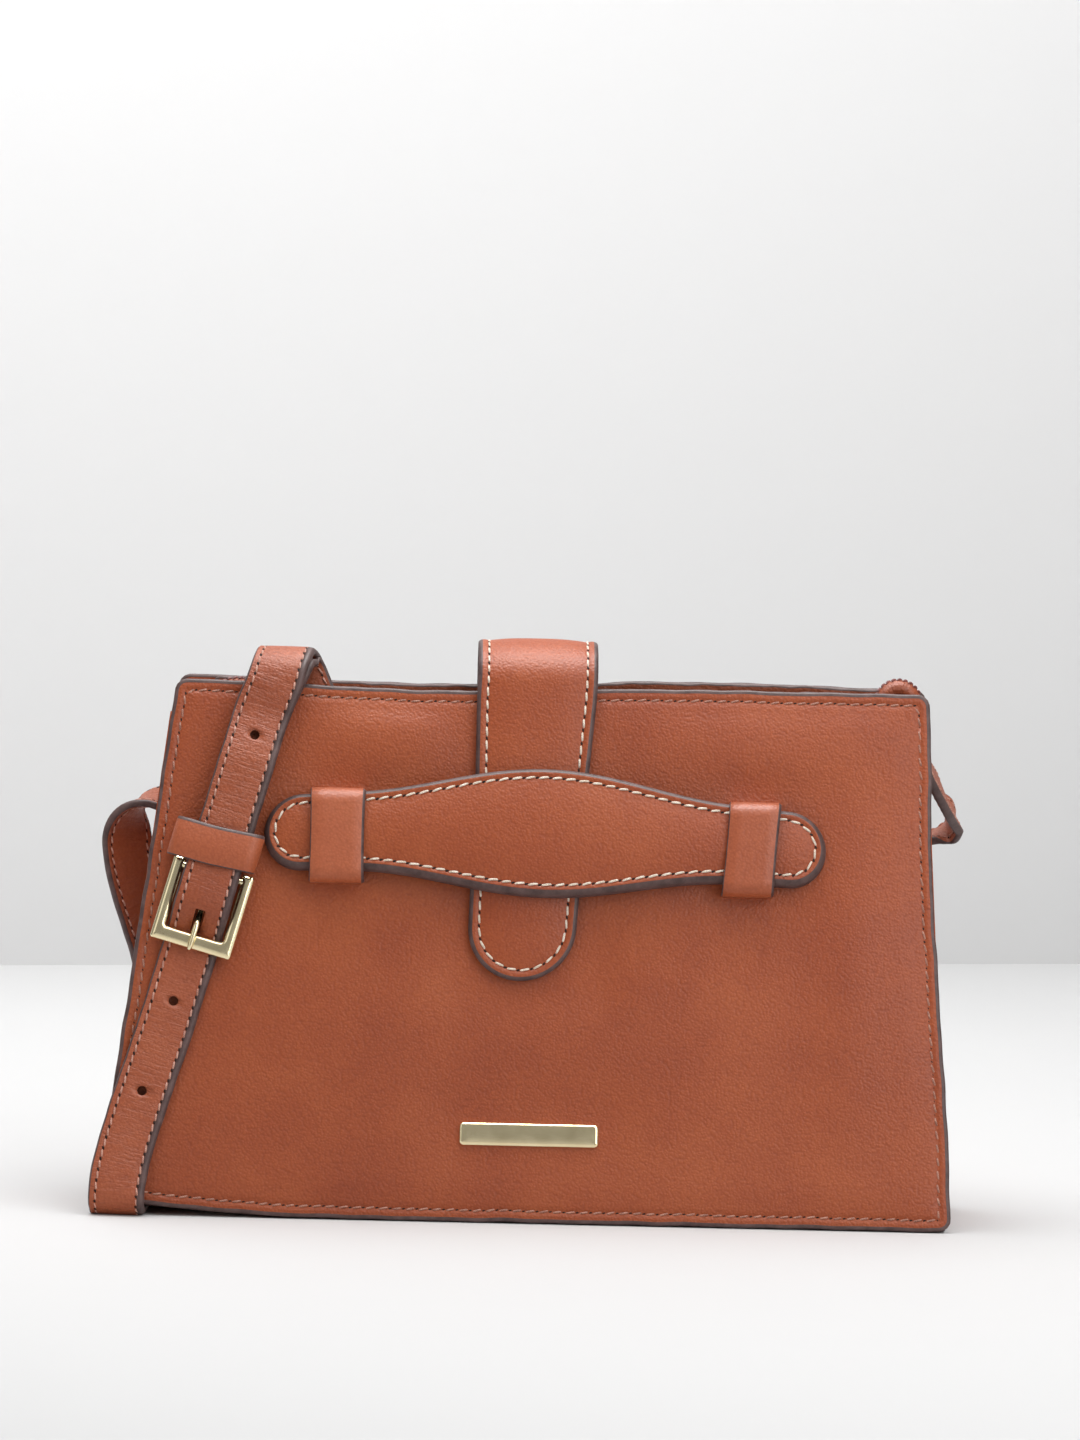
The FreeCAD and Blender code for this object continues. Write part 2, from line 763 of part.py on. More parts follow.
LONG_STRAP = [
    # tail, inside the mouth and over the top edge
    free(-63.6, -1.0, 143, 0, 1, 0),
    free(-66.3, -1.4, 149.5, 0, 1, 0.02),
    free(-69.2, -1.5, 157, 0, 1, 0.1),
    free(-71.0, -3.0, 161.5, 0, 0.7, 0.7),
    free(-72.4, -8.8, 164.3, 0, 0, 1),
    free(-74.0, -14.9, 161.4, 0, -0.75, 0.66),
    free(-75.8, -17.1, 155.4, 0, -1, 0.12),
    # down the front, over the short strap and the pivot bar
    on_strap(60, 4.65),
    on_strap(50, 6.5),
    on_strap(45, 7.2),
    on_strap(30, 7.25),
    on_strap(21, 7.4),
    on_strap(16, 8.1),
    on_strap(12, 8.5),
    on_strap(8, 8.55),
    on_strap(4, 8.3, (0.2, 1)),
    on_strap(1, 7.5, (0.5, 1)),
    on_strap(-2, 5.5, (0.75, 1)),
    on_strap(-4.5, 3.4, (0.65, 1)),
    on_strap(-6.6, 2.05, (0.35, 1)),
    on_strap(-8.4, 1.65, (0.1, 1)),
    on_strap(-12.5, 1.6),
    # below the buckle, down to the lower left corner
    on_front(-101.6, 67, 1.65),
    on_front(-105.2, 54.5, 1.7),
    on_front(-109.2, 42, 1.8),
    on_front(-113.0, 30, 2.0),
    on_front(-116.1, 19, 2.3),
    on_front(-117.8, 10.5, 2.7),
    # under the bag, drifting to the right
    free(-118.2, -32.9, 4.7, -0.1, -0.85, -0.5),
    free(-118.0, -30.2, 1.9, -0.05, -0.4, -0.9),
    free(-117.8, -25.5, 1.3, 0, 0, -1),
    free(-116.4, 0, 1.3, 0, 0, -1),
    free(-114.8, 26, 1.3, 0, 0, -1),
    free(-114.5, 31.7, 1.9, 0, 0.5, -0.87),
    free(-114.1, 34.9, 5.6, 0, 0.9, -0.4),
    # up behind it and round the left arch
    free(-112.9, 35.6, 14, -0.02, 1, -0.1),
    free(-110.2, 35.0, 32, -0.08, 1, 0),
    free(-108.2, 33.0, 48, -0.2, 0.97, 0),
    free(-108.8, 31.0, 62, -0.35, 0.93, -0.05),
    free(-111.6, 29.5, 73, -0.5, 0.86, -0.08),
    free(-115.4, 28.4, 84, -0.55, 0.83, -0.05),
    free(-119.0, 27.6, 96, -0.58, 0.81, 0.02),
    free(-120.2, 27.2, 105.5, -0.52, 0.78, 0.34),
    free(-118.8, 27.1, 112.6, -0.45, 0.4, 0.8),
    free(-115.4, 27.2, 116.5, -0.28, -0.05, 0.95),
    free(-109.5, 27.6, 117.2, 0.02, -0.34, 0.94),
    free(-101, 28.0, 116.2, 0.08, -0.28, 0.95),
    # across the back, face up
    free(-86, 28.4, 114.8, 0.05, -0.12, 1),
    free(-55, 28.4, 113.4, 0.03, 0, 1),
    free(-20, 28.4, 112.6, 0.02, 0, 1),
    free(20, 28.4, 111.8, 0.02, 0, 1),
    free(60, 28.6, 111.0, 0.02, 0, 1),
    free(92, 29.0, 110.2, 0, 0, 1),
    free(105, 28.8, 109.8, 0, 0, 1),
    # fold at the right, and up to the right root
    free(113, 28.3, 109.9, -0.12, 0, 1),
    free(119.2, 27.5, 110.9, -0.4, -0.02, 0.92),
    free(123.2, 26.4, 112.9, -0.8, -0.02, 0.6),
    free(124.8, 24.4, 115.6, -1, 0.02, -0.05),
    free(124.0, 20.6, 118.6, -0.82, 0.12, -0.56),
    free(122.2, 15.6, 121.8, -0.85, 0.12, -0.5),
    free(120.3, 9.6, 125.8, -0.9, 0.1, -0.42),
    free(117.4, 4.3, 130.6, -0.9, 0.08, -0.42),
    free(114.2, 1.1, 136.4, -0.93, 0.03, -0.36),
    free(111.9, 0.1, 142.0, -0.98, 0, -0.2),
    free(111.4, 0, 148.0, -1, 0, 0),
]
LONG_STRAP = [(station, THICK) for station in LONG_STRAP]


def smooth(route, pieces):
    """The stations of a route with more between them, on Catmull-Rom curves through the chosen ones."""

    def blend(a, b, c, d, t):
        second = a * 2 - b * 5 + c * 4 - d
        third = b * 3 - a - c * 3 + d
        return (b * 2 + (c - a) * t + second * t**2 + third * t**3) * 0.5

    places = [station[0] for station, thick in route]
    normals = [Vector(station[1]).normalize() for station, thick in route]
    thicks = [thick for station, thick in route]
    dense = []
    last = len(route) - 1
    for i in range(last):
        around = [max(i - 1, 0), i, i + 1, min(i + 2, last)]
        for step in range(pieces):
            t = step / pieces
            place = blend(*(places[k] for k in around), t)
            normal = normals[i] * (1 - t) + normals[i + 1] * t
            dense.append((place, normal.normalize(), thicks[i] * (1 - t) + thicks[i + 1] * t))
    dense.append((places[last], normals[last], thicks[last]))
    return dense


def strap_solid(route, pieces):
    """A flat leather strap along a route: rectangular sections joined by ruled faces."""
    dense = smooth(route, pieces)
    sections = []
    length = 0.0
    for i, (place, normal, thick) in enumerate(dense):
        before, after = dense[max(i - 1, 0)][0], dense[min(i + 1, len(dense) - 1)][0]
        along = (after - before).normalize()
        across = along.cross(normal).normalize()
        square = across.cross(along).normalize()
        wide, deep = across * (size("strap_width") / 2), square * (thick / 2)
        ring = [place - wide - deep, place + wide - deep, place + wide + deep, place - wide + deep]
        sections.append(Part.makePolygon(ring + ring[:1]))
        if i:
            length += place.distanceToPoint(dense[i - 1][0])
    solid = Part.makeLoft(sections, True, True)
    if solid.Volume < 0:
        solid = solid.reversed()
    return solid, length


HOLES_ABOVE = (53.3, 22.0)  # places of the punched holes along the strap, above the buckle
HOLES_BELOW = ((-102.9, 62.2), (-111.4, 36.1))  # (x, height) of the holes below it
PRONG_HOLE = -3.2  # place of the prong's long hole
PRONG_HOLE_HALF = 2.6
TONGUE_SLOT = (3.2, 7.4)  # width and length of the slot that lets the prong through the fold
TONGUE_SLOT_FOOT = 7.6
PUNCH_REACH = 14


def round_punch(frame, x, up):
    """A tool that punches a round hole through the strap, square to the wall."""
    tool = Part.makeCylinder(size("hole_radius"), PUNCH_REACH)
    tool.Placement = frame.multiply(Placement(Vector(x, up, -1), Rotation()))
    return tool


def long_punch():
    """The tool for the prong's hole, which is long along the strap."""
    radius = size("hole_radius") + 0.05
    corner = Vector(-radius, -PRONG_HOLE_HALF, 0)
    tool = Part.makeBox(2 * radius, 2 * PRONG_HOLE_HALF, PUNCH_REACH, corner)
    for sign in (-1, 1):
        tool = tool.fuse(Part.makeCylinder(radius, PUNCH_REACH, Vector(0, sign * PRONG_HOLE_HALF, 0)))
    tool.Placement = STRAP.multiply(Placement(Vector(0, PRONG_HOLE, -1), Rotation()))
    return tool


short_solid, short_length = strap_solid(SHORT_STRAP, 2)
tongue_slot = Part.makeBox(*TONGUE_SLOT, 8, Vector(-TONGUE_SLOT[0] / 2, TONGUE_SLOT_FOOT, 1))
tongue_slot.Placement = STRAP
keep("strap_short", feature("strap_short", short_solid.cut(tongue_slot)))

long_solid, long_length = strap_solid(LONG_STRAP, 3)
tools = [round_punch(STRAP, 0, along) for along in HOLES_ABOVE]
tools += [round_punch(FRONT, x, height / math.cos(LEAN)) for x, height in HOLES_BELOW]
for tool in tools + [long_punch()]:
    long_solid = long_solid.cut(tool)
keep("strap_long", feature("strap_long", long_solid))
print(f"strap lengths along the middle: short {short_length:.0f} mm, long {long_length:.0f} mm")


def rolled_root(name, outer_x, inner_x, feet, arch):
    """A rolled leather loop over a gusset's top: two straight legs and a half circle between them.

    outer_x and inner_x are the legs' places, feet the heights of their lower ends and arch the
    height of the half circle's centre.
    """
    radius = size("root_radius")
    middle, half = (outer_x + inner_x) / 2, abs(outer_x - inner_x) / 2
    ends = [
        Vector(outer_x, 0, feet[0]),
        Vector(outer_x, 0, arch),
        Vector(inner_x, 0, arch),
        Vector(inner_x, 0, feet[1]),
    ]
    path = Part.Wire([
        Part.LineSegment(ends[0], ends[1]).toShape(),
        Part.Arc(ends[1], Vector(middle, 0, arch + half), ends[2]).toShape(),
        Part.LineSegment(ends[2], ends[3]).toShape(),
    ])
    circle = Part.Wire(Part.makeCircle(radius, ends[0], Vector(0, 0, 1)))
    keep(name, feature(name, path.makePipeShell([circle], True, False)))


rolled_root("strap_root_right", 111.4, 102.6, (148.1, 143.0), 152.4)
rolled_root("strap_root_left", -94.0, -80.0, (138.0, 142.7), 146.0)

# ---------------------------------------------------------------- buckle, prong and strap keeper

frame_head = "(pivot_up + pivot_radius)"
frame_foot = f"({frame_head} - buckle_length)"
frame_right = [
    ("buckle_width / 2", frame_foot),
    ("buckle_width / 2", frame_head),
    ("(buckle_width / 2 - buckle_side)", frame_head),
    ("(buckle_width / 2 - buckle_side)", f"{frame_foot} + buckle_foot"),
]
frame_left = [(f"-{x}", up) for x, up in reversed(frame_right)]
frame_outline = frame_right + frame_left
frame_rounds = {"buckle_corner": spots(frame_outline, (0, 1, 6, 7))}
frame_low, frame_high = "pivot_out - buckle_thick / 2", "pivot_out + buckle_thick / 2"
frame_bar = plate("buckle_bars", frame_outline, frame_low, frame_high, STRAP, frame_rounds)
pivot_start = Vector(value("-buckle_width / 2 + 1"), size("pivot_up"), size("pivot_out"))
pivot_place = STRAP.multiply(Placement(pivot_start, Rotation(Vector(0, 1, 0), 90)))
pivot_bar = cylinder("pivot_bar", "pivot_radius", "buckle_width - 2", pivot_place)
keep("buckle_frame", boolean("MultiFuse", "buckle_frame_fused", [frame_bar, pivot_bar]))

EYE_HALF = 1.2
EYE_WALL = 0.85
EYE_PLAY = 0.06
TONGUE = [(9.9, 4.25), (-0.6, 4.35), (-4.6, 6.45), (-12.2, 6.5)]  # (along, out) of its bends
eye_start = Vector(-EYE_HALF, size("pivot_up"), size("pivot_out"))
eye_place = STRAP.multiply(Placement(eye_start, Rotation(Vector(0, 1, 0), 90)))
eye = Part.makeCylinder(size("pivot_radius") + EYE_WALL, 2 * EYE_HALF)
eye.Placement = eye_place
tongue_points = [STRAP.multVec(Vector(0, along, out)) for along, out in TONGUE]
tongue = eye
for start, end in zip(tongue_points, tongue_points[1:]):
    rod = Part.makeCylinder(size("tongue_radius"), start.distanceToPoint(end), start, end - start)
    tongue = tongue.fuse(rod)
for joint in tongue_points[1:]:
    tongue = tongue.fuse(Part.makeSphere(size("tongue_radius"), joint))
bore = Part.makeCylinder(size("pivot_radius") + EYE_PLAY, 2 * EYE_HALF + 2)
bore.Placement = eye_place.multiply(Placement(Vector(0, 0, -1), Rotation()))
keep("buckle_prong", feature("buckle_prong", tongue.cut(bore)))

# The strap keeper's profile across the strap; its right side slants clear of the band's end.
loop_front = "(loop_back + 2 * loop_leather + loop_depth)"
loop_outline = [
    ("loop_left", "loop_back"),
    ("loop_right - loop_taper", "loop_back"),
    ("loop_right", loop_front),
    ("loop_left", loop_front),
]
loop_hole = [
    ("loop_left + loop_leather", "loop_back + loop_leather"),
    ("loop_right - loop_taper - loop_leather + 0.2", "loop_back + loop_leather"),
    ("loop_right - loop_leather - 0.2", f"{loop_front} - loop_leather"),
    ("loop_left + loop_leather", f"{loop_front} - loop_leather"),
]
loop_top = Vector(0, size("loop_foot") + size("loop_height"), 0)
loop_place = STRAP.multiply(Placement(loop_top, Rotation(Vector(1, 0, 0), 90)))
loop_rounds = {"loop_corner": spots(loop_outline, range(4))}
loop = plate("strap_keeper", loop_outline, "0", "loop_height", loop_place, loop_rounds, holes=[loop_hole])
keep("strap_keeper", loop)

# ---------------------------------------------------------------- check and export

doc.recompute()
failed = [o.Name for o in doc.Objects if any(word in o.State for word in ("Invalid", "Error"))]
for name, piece in parts.items():
    shape = piece.Shape
    if shape.isNull() or not shape.isValid() or shape.Volume <= 0:
        failed.append(name)
if failed:
    raise RuntimeError("failed: " + ", ".join(failed))

os.makedirs("parts", exist_ok=True)
for name, piece in parts.items():
    piece.Shape.exportStep(os.path.join("parts", name + ".step"))
    print(f"{name}: {len(piece.Shape.Solids)} solid(s), {piece.Shape.Volume:.1f} mm3")
print(f"{len(parts)} nodes")
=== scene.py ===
import math
import random

import bpy
import bmesh
import numpy as np
from mathutils import Matrix, Vector
from mathutils.geometry import delaunay_2d_cdt


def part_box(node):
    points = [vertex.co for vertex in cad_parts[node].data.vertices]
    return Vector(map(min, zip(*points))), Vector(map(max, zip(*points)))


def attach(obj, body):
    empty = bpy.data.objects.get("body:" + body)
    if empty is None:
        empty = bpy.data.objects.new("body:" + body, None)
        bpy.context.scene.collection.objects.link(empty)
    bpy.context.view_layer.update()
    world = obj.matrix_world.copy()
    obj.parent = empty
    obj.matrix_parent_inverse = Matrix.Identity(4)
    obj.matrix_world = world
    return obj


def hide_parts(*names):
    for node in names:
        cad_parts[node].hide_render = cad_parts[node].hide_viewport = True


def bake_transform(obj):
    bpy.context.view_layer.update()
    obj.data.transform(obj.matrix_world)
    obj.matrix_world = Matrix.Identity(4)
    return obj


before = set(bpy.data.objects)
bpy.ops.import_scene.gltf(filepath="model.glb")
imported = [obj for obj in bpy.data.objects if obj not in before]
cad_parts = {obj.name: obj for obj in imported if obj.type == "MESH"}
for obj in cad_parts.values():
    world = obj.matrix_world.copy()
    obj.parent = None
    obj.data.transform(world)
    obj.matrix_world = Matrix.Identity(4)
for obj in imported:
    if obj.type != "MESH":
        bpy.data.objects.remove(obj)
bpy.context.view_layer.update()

# The looks of a small leather sling bag. Shapes are worked out in millimetres in the bag's own frame:
# +X to the viewer's right, +Y to the back, +Z up, origin under the middle of the sole.

MM = 0.001
random.seed(7)


def corners_mm(node):
    """A CAD node's lowest and highest corner, in millimetres."""
    low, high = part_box(node)
    return np.array(low) / MM, np.array(high) / MM


def middle_mm(node):
    low, high = corners_mm(node)
    return (low + high) / 2


# ---------------------------------------------------------------- the bag's own axes

BAG_HEIGHT = corners_mm("front_panel")[1][2]
HALF_BASE = 31.0  # half the depth at the floor
HALF_TOP = 12.0  # half the depth at the mouth
LEAN = math.atan2(HALF_BASE - HALF_TOP, BAG_HEIGHT)
SIN, COS = math.sin(LEAN), math.cos(LEAN)
WALL_HEIGHT = BAG_HEIGHT / COS
WALL_FOOT = 0.4
HALF_BASE_WIDTH = 125.0
HALF_TOP_WIDTH = 109.5
SLUMP = 4.8  # the body leans this far to the right at its top
LIFT_START = -50.0  # left of here the sole rises over the strap
LIFT_RADIUS = 600.0
LEATHER = 1.6


def axes(origin, x_axis, y_axis, z_axis):
    """A map from points in a local frame, one per row, to the bag's frame."""
    rows = np.array((x_axis, y_axis, z_axis), float)
    start = np.array(origin, float)
    return lambda points: np.asarray(points, float) @ rows + start


# x to the right, y up the slope, z out of the leather
FRONT = axes((0, -HALF_BASE, 0), (1, 0, 0), (0, SIN, COS), (0, -COS, SIN))
BACK = axes((0, HALF_BASE, 0), (1, 0, 0), (0, -SIN, COS), (0, COS, SIN))

STRAP_LEAN = math.radians(15.7)
BUCKLE_X, BUCKLE_UP = -95.4, 89.2
UP_SLOPE = np.array((0, SIN, COS))
OUTWARDS = np.array((0, -COS, SIN))
STRAP_ACROSS = math.cos(STRAP_LEAN) * np.array((1, 0, 0)) - math.sin(STRAP_LEAN) * UP_SLOPE
STRAP_ALONG = math.sin(STRAP_LEAN) * np.array((1, 0, 0)) + math.cos(STRAP_LEAN) * UP_SLOPE
# x across the strap, y up along its front run, z out of the wall
STRAP = axes(FRONT((BUCKLE_X, BUCKLE_UP, 0)), STRAP_ACROSS, STRAP_ALONG, OUTWARDS)


def rise(x):
    """How far the lifted sole stands off the floor."""
    over = np.maximum(LIFT_START - np.asarray(x, float), 0)
    return LIFT_RADIUS - np.sqrt(LIFT_RADIUS**2 - over**2)


def bell(value, centre, width):
    return np.exp(-(((value - centre) / width) ** 2))


def smoothstep(value):
    value = np.clip(value, 0, 1)
    return value * value * (3 - 2 * value)


# ---------------------------------------------------------------- materials


def node(tree, kind, inputs=None, **settings):
    """A shader node; inputs maps a socket to a value or to another node's socket."""
    made = tree.nodes.new(kind)
    for key, item in settings.items():
        setattr(made, key, item)
    for key, item in (inputs or {}).items():
        if isinstance(item, bpy.types.NodeSocket):
            tree.links.new(item, made.inputs[key])
        else:
            made.inputs[key].default_value = item
    return made


def new_material(name, **fixed):
    """A material with its shader's constant sockets set; returns it, its tree and its shader."""
    material = bpy.data.materials.new(name)
    material.use_nodes = True
    tree = material.node_tree
    shader = tree.nodes["Principled BSDF"]
    for key, item in fixed.items():
        shader.inputs[key.replace("_", " ")].default_value = item
    return material, tree, shader


def ramp(tree, factor, stops):
    """A colour ramp; stops is a list of (place, colour)."""
    made = node(tree, "ShaderNodeValToRGB", {"Fac": factor})
    elements = made.color_ramp.elements
    while len(elements) < len(stops):
        elements.new(0.5)
    for element, (place, colour) in zip(elements, stops):
        element.position = place
        element.color = (*colour, 1)
    return made.outputs["Color"]


def position(tree):
    return node(tree, "ShaderNodeTexCoord").outputs["Object"]


def noise(tree, vector, scale, detail=2.0, roughness=0.5):
    inputs = {"Vector": vector, "Scale": scale, "Detail": detail, "Roughness": roughness}
    return node(tree, "ShaderNodeTexNoise", inputs).outputs["Fac"]


def scaled(tree, vector, factors):
    return node(tree, "ShaderNodeVectorMath", {0: vector, 1: factors}, operation="MULTIPLY").outputs["Vector"]


def calculated(tree, operation, first, second):
    return node(tree, "ShaderNodeMath", {0: first, 1: second}, operation=operation).outputs["Value"]


def between(tree, factor, low, high):
    """A 0 to 1 value stretched to low..high."""
    inputs = {"Value": factor, "To Min": low, "To Max": high}
    return node(tree, "ShaderNodeMapRange", inputs).outputs["Result"]


def mixed(tree, factor, first, second, kind="MIX"):
    made = node(tree, "ShaderNodeMix", data_type="RGBA", blend_type=kind)
    for index, item in ((0, factor), (6, first), (7, second)):
        if isinstance(item, bpy.types.NodeSocket):
            tree.links.new(item, made.inputs[index])
        else:
            made.inputs[index].default_value = item
    return made.outputs[2]


def weighted(tree, first, share, second, other_share):
    """The sum of two values, each times its share."""
    parts = [calculated(tree, "MULTIPLY", *pair) for pair in ((first, share), (second, other_share))]
    return calculated(tree, "ADD", *parts)


def coloured(tree, shader, tone, stops, rough=None):
    """Colours the shader by a tone, which may also set its roughness between two values."""
    tree.links.new(ramp(tree, tone, stops), shader.inputs["Base Color"])
    if rough:
        tree.links.new(between(tree, tone, *rough), shader.inputs["Roughness"])


def bump(tree, shader, height, strength, distance):
    made = node(tree, "ShaderNodeBump", {"Height": height, "Strength": strength, "Distance": distance})
    tree.links.new(made.outputs["Normal"], shader.inputs["Normal"])


def leather(name, dark, middle, light, grain=1.0, creases=0.0, gloss=0.0, shade=None):
    """Smooth tanned leather: fine pebble grain, patchy colour and, on the strap, creases across it.

    shade is how much darker the colour is painted towards the floor and the left: painted shade, standing in
    for the light falling off there.
    """
    made, tree, shader = new_material(name, Specular_IOR_Level=0.42)
    place = position(tree)
    patches = noise(tree, place, 28.0, 3.0, 0.55)
    mottle = noise(tree, place, 650.0, 3.0, 0.6)
    tone = weighted(tree, patches, 0.72, mottle, 0.28)
    colour = ramp(tree, tone, [(0.33, dark), (0.5, middle), (0.67, light)])
    cells = node(tree, "ShaderNodeTexVoronoi", {"Vector": place, "Scale": 1400.0}, feature="SMOOTH_F1")
    pores = cells.outputs["Distance"]
    pits = ramp(tree, pores, [(0.0, (1, 1, 1)), (0.75, (0.80, 0.76, 0.74))])
    colour = mixed(tree, 1.0, colour, pits, "MULTIPLY")
    # painted shade: the colour darkens towards the floor and the left, where less light falls
    if shade:
        reach = node(tree, "ShaderNodeVectorMath", {0: place, 1: (1.6, 0.0, 5.0)}, operation="DOT_PRODUCT")
        shade_gradient = calculated(tree, "ADD", reach.outputs["Value"], 0.25)
        wear_and_painted_shade = ramp(tree, shade_gradient, [(0.1, (1 - shade,) * 3), (0.85, (1.0, 1.0, 1.0))])
        colour = mixed(tree, 1.0, colour, wear_and_painted_shade, "MULTIPLY")
    tree.links.new(colour, shader.inputs["Base Color"])
    wrinkles = noise(tree, scaled(tree, place, (1.0, 1.0, 1.4)), 620.0, 3.0, 0.6)
    height = weighted(tree, pores, -0.7, wrinkles, 0.28)
    if creases:
        along = node(tree, "ShaderNodeUVMap", uv_map="Run").outputs["UV"]
        lines = noise(tree, scaled(tree, along, (110.0, 900.0, 1.0)), 1.0, 4.0, 0.62)
        deep = ramp(tree, lines, [(0.36, (0, 0, 0)), (0.52, (1, 1, 1))])
        height = calculated(tree, "ADD", height, calculated(tree, "MULTIPLY", deep, creases))
    bump(tree, shader, height, 0.8 * grain, 0.0003)
    dull_pores = calculated(tree, "MULTIPLY", pores, 0.10)
    rough = calculated(tree, "ADD", between(tree, patches, 0.40 - gloss, 0.56 - gloss), dull_pores)
    tree.links.new(rough, shader.inputs["Roughness"])
    return made


def edge_paint(name, dark, light):
    """The dull grey-brown paint on cut edges, a little uneven."""
    made, tree, shader = new_material(name, Specular_IOR_Level=0.4)
    place = position(tree)
    tone = noise(tree, place, 260.0, 4.0, 0.6)
    coloured(tree, shader, tone, [(0.35, dark), (0.65, light)], rough=(0.42, 0.62))
    bump(tree, shader, noise(tree, place, 700.0, 3.0, 0.6), 0.35, 0.0003)
    return made


def thread(name, dark, light):
    """Waxed thread with the twist of its plies."""
    made, tree, shader = new_material(name, Sheen_Weight=0.2, Sheen_Roughness=0.5)
    place = position(tree)
    tone = noise(tree, place, 900.0, 2.0)
    coloured(tree, shader, tone, [(0.35, dark), (0.65, light)], rough=(0.5, 0.7))
    inputs = {"Vector": place, "Scale": 900.0, "Distortion": 1.5}
    twist = node(tree, "ShaderNodeTexWave", inputs, bands_direction="DIAGONAL").outputs["Fac"]
    bump(tree, shader, twist, 0.5, 0.0001)
    return made


def painted_hole_shade(name):
    """Painted shade for the inside of needle holes and punched holes: near black, where little light gets in.
    """
    made, tree, shader = new_material(name, Specular_IOR_Level=0.2)
    tone = noise(tree, position(tree), 1500.0, 2.0)
    stops = [(0.3, (0.010, 0.005, 0.004)), (0.7, (0.035, 0.016, 0.011))]
    coloured(tree, shader, tone, stops, rough=(0.7, 0.9))
    return made


def metal(name, colour, wear_and_painted_shade, speck_scale):
    """Pale brass with faint brushing and small dark specks where the plating has worn."""
    made, tree, shader = new_material(name, Metallic=1.0)
    place = position(tree)
    tone = noise(tree, place, 180.0, 3.0, 0.6)
    base = ramp(tree, tone, [(0.3, wear_and_painted_shade), (0.6, colour)])
    specks = node(tree, "ShaderNodeTexVoronoi", {"Vector": place, "Scale": speck_scale}).outputs["Distance"]
    mask = ramp(tree, specks, [(0.07, (1, 1, 1)), (0.10, (0, 0, 0))])
    base = mixed(tree, mask, base, (0.10, 0.07, 0.04, 1))
    tree.links.new(base, shader.inputs["Base Color"])
    rough = calculated(tree, "ADD", between(tree, tone, 0.16, 0.26), calculated(tree, "MULTIPLY", mask, 0.3))
    tree.links.new(rough, shader.inputs["Roughness"])
    brushed = noise(tree, scaled(tree, place, (1.0, 1.0, 14.0)), 500.0, 2.0)
    bump(tree, shader, brushed, 0.03, 0.0001)
    return made


def woven(name, dark, light, pitch):
    """Plain-weave cloth: crossing yarns a pitch apart."""
    made, tree, shader = new_material(name, Sheen_Weight=0.25, Roughness=0.85)
    place = position(tree)
    waves = []
    for direction in ("X", "Z"):
        inputs = {"Vector": place, "Scale": math.pi / pitch / 10, "Distortion": 0.6, "Detail": 1.0}
        waves.append(node(tree, "ShaderNodeTexWave", inputs, bands_direction=direction).outputs["Fac"])
    weave = calculated(tree, "MULTIPLY", waves[0], waves[1])
    fuzz = noise(tree, place, 900.0, 3.0)
    tone = weighted(tree, weave, 0.6, fuzz, 0.4)
    coloured(tree, shader, tone, [(0.15, dark), (0.7, light)])
    bump(tree, shader, tone, 0.5, 0.0003)
    return made


def board(name, dark, light):
    """Pressed fibre board with visible fibres."""
    made, tree, shader = new_material(name)
    place = position(tree)
    fibres = noise(tree, scaled(tree, place, (1.0, 1.0, 5.0)), 320.0, 5.0, 0.65)
    coloured(tree, shader, fibres, [(0.3, dark), (0.7, light)], rough=(0.75, 0.92))
    bump(tree, shader, fibres, 0.4, 0.0002)
    return made


# the tan leather carries painted shade, darker towards the floor and the left
TAN = leather("tan_leather", (0.305, 0.051, 0.008), (0.360, 0.067, 0.011), (0.410, 0.086, 0.017), shade=0.12)
TAN_STRAP = leather("strap_leather", (0.290, 0.058, 0.016), (0.345, 0.076, 0.023), (0.405, 0.100, 0.035),
                    creases=0.4)
TAN_SMOOTH = leather("keeper_leather", (0.360, 0.078, 0.024), (0.410, 0.096, 0.032), (0.455, 0.116, 0.042),
                     grain=0.6, gloss=0.03)
TAN_INSIDE = leather("inner_leather", (0.250, 0.058, 0.020), (0.300, 0.074, 0.026), (0.350, 0.092, 0.034),
                     grain=1.2)
GREY_EDGE = edge_paint("edge_paint", (0.060, 0.031, 0.028), (0.115, 0.066, 0.060))
BROWN_THREAD = thread("brown_thread", (0.260, 0.095, 0.055), (0.460, 0.215, 0.145))
PINK_THREAD = thread("pink_thread", (0.400, 0.170, 0.115), (0.600, 0.320, 0.240))
CREAM_THREAD = thread("cream_thread", (0.640, 0.520, 0.400), (0.850, 0.760, 0.640))
WINE_THREAD = thread("wine_thread", (0.130, 0.026, 0.022), (0.260, 0.080, 0.070))
HOLE_SHADE = painted_hole_shade("needle_hole_shade")
BRASS = metal("pale_brass", (0.800, 0.690, 0.440), (0.740, 0.630, 0.390), 150.0)
BRIGHT_BRASS = metal("bright_brass", (0.860, 0.750, 0.480), (0.800, 0.680, 0.420), 90.0)
CLOTH = woven("lining_cloth", (0.085, 0.050, 0.032), (0.190, 0.125, 0.085), 0.0007)
BOARD = board("fibre_board", (0.20, 0.14, 0.09), (0.42, 0.33, 0.24))

# ---------------------------------------------------------------- mesh helpers


def unit(rows):
    """Each row's vector at length 1."""
    return rows / np.linalg.norm(rows, axis=-1)[..., None]


def repeated(row, count):
    return np.repeat(np.array(row, float)[None], count, axis=0)


def around(count):
    """Angles evenly spaced round a circle."""
    return [2 * math.pi * k / count for k in range(count)]


def tube_faces(first, sides, rings, closed=False):
    """The faces of a tube whose points are listed ring by ring: its sides, and its two ends unless closed."""
    faces = []
    for ring in range(rings if closed else rings - 1):
        low, high = first + ring * sides, first + (ring + 1) % rings * sides
        for k in range(sides):
            m = (k + 1) % sides
            faces.append((low + k, low + m, high + m, high + k))
    if not closed:
        last = first + (rings - 1) * sides
        faces.append(tuple(first + k for k in reversed(range(sides))))
        faces.append(tuple(last + k for k in range(sides)))
    return faces


